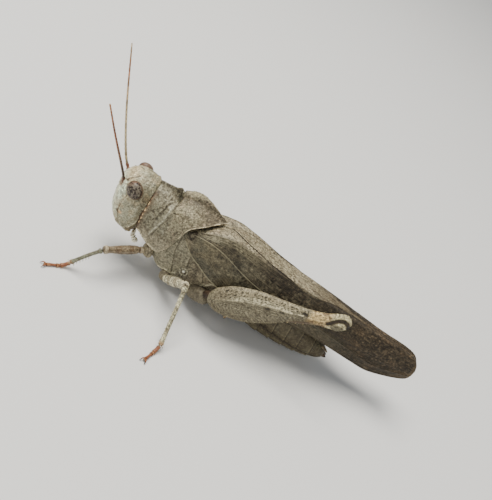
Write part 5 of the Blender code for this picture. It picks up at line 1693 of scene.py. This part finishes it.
def foot(where, kind, ankle, toe, bottom, size=1.0, tone=FOOT_RED, farthest=0.5):
    """Three ringed pieces with pads beneath, a round pad between two hooked claws."""
    ankle, toe = np.array(ankle, float), np.array(toe, float)
    level = unit((toe - ankle) * (1, 1, 0))
    across = np.cross(level, (0, 0, 1.0))
    heel = ankle + (toe - ankle) * min(farthest, 0.14 + 0.2 * (ankle[2] - bottom))
    heel[2] = bottom + 0.34 * size
    end = toe.copy()
    end[2] = bottom + 0.3 * size
    middle = (heel + end) / 2
    middle[2] = bottom + 0.3 * size
    route = path_through([ankle, heel, middle, end], 121)
    parts = []
    for first, last, thick, pads in TOE_PIECES:
        rings, ring = stem(route[first:last + 1], TOE_SHAPE, thick * size, 36)
        under = ease(0.1, 0.9, -np.sin(turns(36))) + 0 * ring
        bumps = np.abs(np.sin(ring * math.pi * max(pads, 1)))**0.6 if pads else 0 * ring
        rings = lifted(rings, 0.09 * size * under * bumps)
        rings[..., 2] = np.maximum(rings[..., 2], bottom)
        tint = coats(plain(rings, tone),
            ((0.55, 0.36, 0.2), ease(0.2, -0.4, waver2(rings, 0.3, 109)) * 0.5),
            ((0.62, 0.5, 0.34), under * bumps * 0.6),
            ((0.12, 0.05, 0.03), ease(0.9, 1.0, ring) * 0.7))
        parts.append(shell(rings, tint=tint, growth=1 - under))
    rings, _ = stem(straight(end + level * 0.05, end + level * 0.42, 16), PAD_SHAPE, size, 20)
    parts.append(shell(rings, tint=plain(rings, (0.3, 0.2, 0.13)), growth=0))
    for hand in (-1, 1):
        hook = path_through([end + across * hand * 0.06, end + level * 0.3 + across * hand * 0.26
                             + (0, 0, 0.14 * size), end + level * 0.76 + across * hand * 0.44
                             - (0, 0, 0.22 * size)], 26)
        rings, ring = stem(hook, CLAW_SHAPE, size, 14)
        tint = paint(plain(rings, (0.34, 0.15, 0.07)), (0.02, 0.01, 0.008),
                     ease(0.45, 0.8, ring))
        parts.append(shell(rings, tint=tint, growth=0))
    build(f"{where}_{kind}_foot", parts, FINISH["foot"], "tarsus_cuticle",
          [f"tarsus_{kind}_{where}"])


def walking_legs():
    """The fore and middle legs, each from its hip block to its claws."""
    for side, kind, hip, knee, ankle, toe in WALKING_LEGS:
        mirror = np.array((1, side, 1))
        where = dict(SIDES)[side]
        block, size, colour, thigh, shin = LEG_BUILDS[kind]
        hip_block(where, kind, np.array(block) * mirror, np.array(hip) * mirror, size, colour)
        upper_leg(where, kind, mirror, hip, knee, thigh)
        hinge = unit(np.array(knee) - hip) * 0.1
        lower_leg(where, kind, mirror, knee, ankle, shin, hinge - (0, 0, thigh * 0.3))
        foot(where, kind, np.array(ankle) * mirror + (0, 0, -0.1), np.array(toe) * mirror,
             GROUND)


# ---------------------------------------------------------------- hind legs

HIND_HIP = np.array((18.4, 5.3, -3.7))
HIND_KNEE, HIND_ANKLE = (35.55, 4.25, 2.75), (22.2, 3.9, -6.5)
HIND_TOES = {-1: (22.9, 0.3, -9.25), 1: (22.9, 1.9, -9.25)}
HIND_DROP = {-1: 0.0, 1: math.radians(15.5)}
# x, lower z, upper z, half thickness and distance from the mid line
HIND_FEMUR = ((18.2, -4.1, -3.3, 0.12, 5.3), (18.4, -4.6, -2.7, 0.5, 5.3),
              (18.8, -5.0, -1.9, 0.8, 5.3), (20.2, -5.75, -0.55, 0.98, 5.2),
              (22.0, -5.75, 0.45, 1.0, 5.12), (24.5, -4.95, 1.3, 0.95, 4.97),
              (27.5, -2.9, 1.75, 0.82, 4.75), (30.4, -0.15, 2.3, 0.62, 4.5),
              (32.4, 0.78, 2.95, 0.56, 4.4), (34.2, 1.15, 3.95, 0.68, 4.25),
              (35.5, 1.68, 4.62, 0.72, 4.2), (36.4, 2.45, 4.25, 0.6, 4.2),
              (36.75, 3.0, 3.8, 0.3, 4.2), (36.82, 3.3, 3.5, 0.06, 4.2))
UPPER_KEEL = ((18.2, 0.5), (19.0, 0.55), (20.4, 0.64), (23.4, 0.73), (26.6, 0.76), (30.1, 0.64),
              (33.2, 0.5), (36.8, 0.5))
LOWER_KEEL = ((18.2, 0.4), (19.0, 0.3), (20.4, 0.16), (24.0, 0.1), (28.0, 0.12), (31.0, 0.2),
              (33.0, 0.3), (36.8, 0.4))
# x, z, half length and depth of the dark blots on the outer face
FEMUR_BLOTS = ((25.9, -0.25, 0.42, 0.7), (30.7, 1.75, 0.6, 0.85), (29.4, 1.2, 0.5, 0.5),
               (23.0, -1.0, 0.45, 0.5), (27.8, 0.4, 0.45, 0.5))
KNEE_ARC = ((33.9, 2.25), (34.35, 2.95), (34.85, 3.55), (35.5, 3.95), (36.15, 3.8),
            (36.55, 3.35))


def lowered(points, side):
    """Points of the right hind leg, swung down about the hip, and placed on their side."""
    c, s = math.cos(HIND_DROP[side]), math.sin(HIND_DROP[side])
    x, z = points[..., 0] - HIND_HIP[0], points[..., 2] - HIND_HIP[2]
    return joined(HIND_HIP[0] + x * c + z * s, side * points[..., 1], HIND_HIP[2] + z * c - x * s)


def hind_femur(side, where):
    """The big jumping femur: herringbone face between two keels, dotted top, lobed knee."""
    x = even_keys(HIND_FEMUR, HIND_FEMUR_GRID[0])
    low, high, half, out_y = curve(HIND_FEMUR, x).T
    p = upright_rings(x, out_y, low, high, half, HIND_FEMUR_GRID[1], 2.1)
    out = facing(p)
    x, z = p[..., 0], p[..., 2]
    low, high = low[:, None], high[:, None]
    level = np.clip((z - low) / np.maximum(high - low, 0.05), 0, 1)
    face = ease(0.05, 0.3, out[..., 1])
    inner = ease(-0.05, -0.3, out[..., 1])
    upper = curve(UPPER_KEEL, x)[..., 0]
    lower = curve(LOWER_KEEL, x)[..., 0]
    tall = high - low
    shaft = band(x, 18.8, 33.2, 0.4)
    middle = (upper + lower) / 2 + 0.02
    field = ease(0.0, 0.03, level - lower) * ease(0.0, 0.03, upper - level) * shaft
    bent = np.sqrt(((level - middle) * tall)**2 + 0.02)
    phase = (x - 1.1 * bent + 0.2 * waver(p, 1.2, 111)) * 2 * math.pi / 0.5
    chevron = np.cos(phase)
    keel_up = hump((level - upper) * tall, 0, 0.11)
    keel_low = hump((level - lower) * tall, 0, 0.1)
    centre_line = hump((level - middle) * tall, 0, 0.09)
    ends = ease(18.4, 19.1, x)
    height = field * (face + 0.5 * inner) * (0.045 * chevron + 0.03 * centre_line - 0.03)
    height += (0.13 * keel_up + 0.11 * keel_low) * shaft * np.maximum(face, inner * 0.7)
    crest = hump(level, 1.0, 0.02) * ease(0.25, 0.02, np.abs(out[..., 1]))
    height += 0.13 * crest * band(x, 19.5, 34, 0.8)
    height -= 0.28 * hump(level, 0.0, 0.05) * band(x, 21, 33.5, 1.0)
    height += 0.012 * grains(p, 0.22, 112) * ends + 0.02 * waver(p, 0.6, 113)
    from_arc = reach(joined(x, 0, z), [(a, 0, b) for a, b in KNEE_ARC])
    arc = ease(0.42, 0.2, from_arc)
    lobe = np.hypot((x - 35.35) / 1.05, (z - 2.35) / 0.72)
    outer_arc = ease(33.6, 34.4, x) * ease(0.45, 0.75, from_arc) * ease(0.4, 0.6, level)
    both = np.maximum(face, inner)
    height += both * (-0.14 * arc + 0.1 * ease(1.05, 0.8, lobe) + 0.08 * outer_arc)
    height += both * 0.03 * ease(1.0, 0.8, lobe) * np.cos(z * 22 + x * 4)
    rings = lifted(p, height, out)

    cloud, fine = waver2(p, 0.9, 114 + side), waver2(p, 0.4, 115 + side)
    tint = plain(p, (0.27, 0.238, 0.172))
    broken = 0.25 + 0.75 * ease(-0.45, 0.25, waver(rings, 0.5, 126))
    above = ease(0.0, 0.05, level - upper) * shaft
    tint = coats(tint,
        ((0.4, 0.36, 0.27), field * broken * ease(0.0, 0.8, chevron) * 0.5),
        ((0.14, 0.118, 0.083), field * broken * ease(-0.1, -0.8, chevron) * 0.55),
        ((0.16, 0.135, 0.094), field * ease(0.0, 0.5, cloud) * 0.6),
        ((0.18, 0.15, 0.105), field * ease(0.3, 0.0, level - lower) * 0.5),
        ((0.35, 0.305, 0.217), above * 0.9),
        ((0.27, 0.23, 0.16), above * ease(0.0, 0.4, cloud) * 0.7),
        ((0.24, 0.205, 0.145), ease(22.5, 19.5, x) * above * 0.8),
        ((0.62, 0.56, 0.415), hump(level, upper + 0.07, 0.08) * face * band(x, 21, 31.5, 1.2)
         * (0.75 + 0.5 * fine)))
    for row in (0.3, 0.55, 0.8):
        at = upper + (1 - upper) * row
        spacing = np.cos(x * 2 * math.pi / 0.55 + 7 * row + 3 * waver(p, 0.8, 116))
        dots = hump((level - at) * tall, 0.14 * fine, 0.09) * ease(0.15, 0.5, spacing
                                                                   * (1 - row * 0.2) + fine)
        tint = paint(tint, (0.03, 0.024, 0.017), dots * band(x, 19.4, 32.5, 0.5) * 0.95)
    for cx, cz, wide, deep in FEMUR_BLOTS:
        spot = np.hypot((x - cx) / wide, (z - cz) / (wide * 0.55)) + 0.5 * fine
        tint = paint(tint, (0.045, 0.036, 0.026), ease(1.1, 0.6, spot) * face * deep)
    neck = band(x, 31.3, 34.0, 0.5)
    knee = ease(33.6, 34.3, x)
    knee_dots = outer_arc * ease(0.35, 0.7, np.cos(x * 2 * math.pi / 0.5 + z * 3) + 0.4 * fine)
    end_spot = np.hypot((x - 36.6) / 0.3, (z - 3.15) / 0.4)
    inside = inner * shaft
    tint = coats(tint,
        ((0.3, 0.26, 0.18), keel_low * shaft * 0.5),
        ((0.19, 0.16, 0.11), ease(0.0, 0.05, lower - level) * shaft * 0.7),
        ((0.6, 0.465, 0.265), neck * (0.9 - 0.3 * ease(0.0, 0.4, cloud))),
        ((0.16, 0.11, 0.07), neck * ease(0.02, 0.35, fine) * 0.75),
        ((0.3, 0.21, 0.125), neck * ease(0.5, 0.1, level) * 0.6),
        ((0.54, 0.48, 0.32), knee * 0.85),
        ((0.04, 0.03, 0.02), knee_dots * 0.8),
        ((0.22, 0.195, 0.135), knee * ease(1.05, 0.9, lobe) * 0.9),
        ((0.12, 0.105, 0.075), knee * ease(1.0, 0.8, lobe) * ease(0.0, 0.7, np.cos(z * 22 + x * 4))
         * 0.6),
        ((0.045, 0.028, 0.016), both * arc * 0.92),
        ((0.03, 0.02, 0.014), ease(1.1, 0.6, end_spot) * 0.9),
        ((0.055, 0.042, 0.03), inside * band(x, 20.5, 24.5, 0.6) * 0.8),
        ((0.055, 0.042, 0.03), inside * band(x, 27.0, 30.0, 0.5) * 0.8))
    build(where + "_hind_femur",
          [shell(lowered(rings, side), tint=tint, specks=0.25 + 0.35 * above,
                 flecks=0.3, growth=0.6 * shaft * ease(0.3, 0.6, level)
                 + ease(0.12, 0.02, level))],
          FINISH["femur"], "hind_femur_cuticle", ["femur_hind_" + where], sharp=0)


def hind_tibia(side, where):
    """The long shin folded into the groove of the femur, with two rows of spines."""
    knee = lowered(np.array(HIND_KNEE), side)
    ankle = lowered(np.array(HIND_ANKLE), side)
    ankle[2] = max(ankle[2], GROUND + 0.95)
    route = bowed(knee, ankle, HIND_SHIN_ROWS, (0.05, 0, 0.16))
    rings, ring = stem(route, HIND_SHAPE, 0.4, 64, 2.3)
    # the shin's brown is darkened as painted shade, so that the strip of it below the femur's
    # lower edge reads as shadow
    tint = coats(plain(rings, (0.19, 0.145, 0.1)),
        ((0.13, 0.08, 0.05), ease(0.1, 0.5, waver2(rings, 0.5, 117)) * 0.5),
        ((0.05, 0.035, 0.025), band(ring, 0.1, 0.16, 0.01) * 0.8),
        ((0.4, 0.32, 0.2), band(ring, 0.17, 0.26, 0.02) * 0.6),
        ((0.2, 0.105, 0.06), ease(0.35, 0.6, ring) * 0.3))
    rings = lifted(rings, 0.02 * waver(rings, 0.4, 118))
    build(where + "_hind_tibia", [shell(rings, tint=tint, specks=0.3,
                                        growth=ease(0.1, 0.2, ring))],
          FINISH["shin"], "hind_tibia_cuticle", ["tibia_hind_" + where], sharp=0)
    up = limb_frames(route)[1]
    down = up * np.where((up * (0.5, 0, -1)).sum(-1) > 0, 1, -1)[:, None]
    rows = [(int(HIND_SHIN_ROWS * (0.3 + 0.072 * n)), 0.6, 0.8, 0.85, 0.2, 0.72)
            for n in range(9)]
    rows += [(-4, 0.7, 0.5, 1, 0.2, 0.8), (-4, 0.7, -0.6, 1, 0.2, 0.6)]
    thorns(where + "_hind_spines", route, down, unit(ankle - knee), rows,
           "hind_tibia_cuticle", 0.13)
    toe = np.array(HIND_TOES[side])
    toe = (ankle[0] + toe[0] - HIND_ANKLE[0], side * toe[1], toe[2])
    # the hind feet are painted dark brown-grey as painted shade, to sit as shadow under the femur
    foot(where, "hind", ankle + (-0.1, 0, -0.12), toe, GROUND, 0.85, (0.15, 0.1, 0.07), 0.68)


def hind_legs():
    """The jumping legs, folded beside the body."""
    for side, where in SIDES:
        mirror = np.array((1, side, 1))
        hip_block(where, "hind", np.array((15.9, 2.6, -6.75)) * mirror,
                  np.array((18.5, 4.6, -5.25)) * mirror, 1.18, (0.215, 0.187, 0.138), 0.15)
        route = straight((17.75, 4.25, -4.95), (18.75, 5.25, -3.6), 30)
        rings, _ = stem(route * mirror, ((0, 0.2), (0.15, 0.5), (0.5, 0.62), (0.85, 0.5),
                                         (1, 0.15)), 1, 48)
        tint = paint(plain(rings, (0.12, 0.08, 0.053)), (0.05, 0.034, 0.024),
                     0.5 + 0.5 * waver2(rings, 0.4, 119))
        build(where + "_hind_trochanter", [shell(rings, tint=tint, specks=0.3)],
              FINISH["coxa"], "coxa_cuticle", sharp=0)
        hind_femur(side, where)
        hind_tibia(side, where)


def lay_flat(mesh):
    """A map for baking: every bristle is a small patch where its root lies on the opened skin."""
    along = read_mark(mesh, "lengthwise")
    around = np.arctan2(read_mark(mesh, "round_y"), read_mark(mesh, "round_x")) / (2 * math.pi)
    place = joined(along, around % 1.0) * 0.99 + 0.005
    corners = np.array(((-1, -1), (1, -1), (1, 1), (-1, 1), (0, 0))) * 0.0015
    place += corners[np.arange(len(place)) % len(corners)]
    loops = np.zeros(len(mesh.loops), np.int32)
    mesh.loops.foreach_get("vertex_index", loops)
    flat = mesh.uv_layers.new(name="OFBake")
    flat.data.foreach_set("uv", place[loops].astype(np.float32).ravel())


# the piece on each side, bristles on a square millimetre, their length, their lean on the right
HAIR_BEDS = (("hind_femur", 1.2, 0.34, (0.6, 0, -0.3)), ("fore_femur", 5.0, 0.32, (-0.5, 0, -0.4)),
             ("mid_femur", 5.0, 0.32, (0.3, 0, -0.3)), ("fore_tibia", 7.0, 0.34, (-0.4, 0, -0.7)),
             ("mid_tibia", 7.0, 0.34, (0, 0.4, -0.7)), ("hind_tibia", 5.0, 0.36, (-0.6, 0, -0.6)),
             ("fore_foot", 8.0, 0.24, (-0.3, 0.3, 0.1)), ("mid_foot", 8.0, 0.24, (0, 0.5, 0.1)))


def hairs():
    """Short pale bristles, sparse over the legs and the underside."""
    beds = [("side_plates", 1.6, 0.34, (0.3, 0, -0.6)), ("hind_body", 2.0, 0.3, (0.9, 0, 0))]
    beds += [(f"{where}_{name}", density, length, (lean[0], side * lean[1], lean[2]))
             for name, density, length, lean in HAIR_BEDS for side, where in SIDES]
    for base, density, length, lean in beds:
        obj = bpy.data.objects[base]
        mesh = grow(base + "_hairs", obj.data.copy(), BRISTLES,
                    {"Density": density / MM**2, "Seed": 7, "Size": length * MM,
                     "Width": 0.011 * MM, "Lean": lean}, FINISH["bristle"])
        if len(mesh.vertices):
            lay_flat(mesh)
            put_mark(mesh, "tint", np.repeat([[0.62, 0.56, 0.44]], len(mesh.vertices), axis=0))
            show(base + "_hairs", mesh, FINISH["bristle"], obj["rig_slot"])


walking_legs()
hind_legs()
hairs()


# ---------------------------------------------------------------- stage, light and camera

FLOOR_REACH = 1.6
FLOOR_TINT, FLOOR_ROUGHNESS = (0.74, 0.735, 0.715, 1), 0.9
SKY_TINT, SKY_STRENGTH = (0.9, 0.95, 1.0, 1), 0.34
LAMP_AIM = (0, 0, 0.008)
# name, place, power, width and tint of each lamp
LAMPS = (("key_panel", (-0.1, 0.03, 0.36), 2.5, 0.24, (1.0, 0.97, 0.91)),
         ("fill_panel", (-0.1, -0.3, 0.16), 0.3, 0.3, (1.0, 0.98, 0.95)))
# the camera's right, up and backward directions, and its place in the body frame
CAMERA_AXES = ((0.84850631, 0.22806355, 0.47751865), (-0.51601211, 0.55666571, 0.65104131),
               (-0.11733947, -0.79881806, 0.59001792))
CAMERA_PLACE = (8.11433, -77.67868, 59.57316)
CAMERA_LENS, CAMERA_SENSOR, CAMERA_NEAR, CAMERA_FAR = 50.259, 36.0, 0.002, 10.0


def studio():
    """A wide pale floor, a soft sky, a warm panel overhead and a weak one to the left."""
    floor_mesh = bpy.data.meshes.new("floor")
    corners = ((-1, -1), (1, -1), (1, 1), (-1, 1))
    floor_mesh.from_pydata([(a * FLOOR_REACH, b * FLOOR_REACH, 0) for a, b in corners], [],
                           [(0, 1, 2, 3)])
    floor = placed("floor", floor_mesh)
    paper = bpy.data.materials.new("pale_paper")
    paper.use_nodes = True
    shader = paper.node_tree.nodes["Principled BSDF"]
    shader.inputs["Base Color"].default_value = FLOOR_TINT
    shader.inputs["Roughness"].default_value = FLOOR_ROUGHNESS
    floor_mesh.materials.append(paper)

    world = bpy.data.worlds.new("soft_room")
    world.use_nodes = True
    sky = world.node_tree.nodes["Background"]
    sky.inputs["Color"].default_value = SKY_TINT
    sky.inputs["Strength"].default_value = SKY_STRENGTH
    bpy.context.scene.world = world
    for name, spot, power, size, colour in LAMPS:
        lamp = bpy.data.lights.new(name, "AREA")
        lamp.energy, lamp.size, lamp.color = power, size, colour
        holder = placed(name, lamp)
        holder.location = spot
        holder.rotation_mode = "QUATERNION"
        holder.rotation_quaternion = (Vector(LAMP_AIM) - Vector(spot)).to_track_quat("-Z", "Y")


def camera():
    """Above the animal's left side, tilted so that the body slopes down to the right."""
    lens = bpy.data.cameras.new("view")
    lens.lens, lens.sensor_width = CAMERA_LENS, CAMERA_SENSOR
    lens.clip_start, lens.clip_end = CAMERA_NEAR, CAMERA_FAR
    holder = placed("view", lens)
    holder.matrix_world = Matrix(CAMERA_AXES).transposed().to_4x4()
    holder.location = Vector((np.array(CAMERA_PLACE) + ORIGIN) * MM)
    bpy.context.scene.camera = holder


studio()
camera()
bpy.context.view_layer.update()
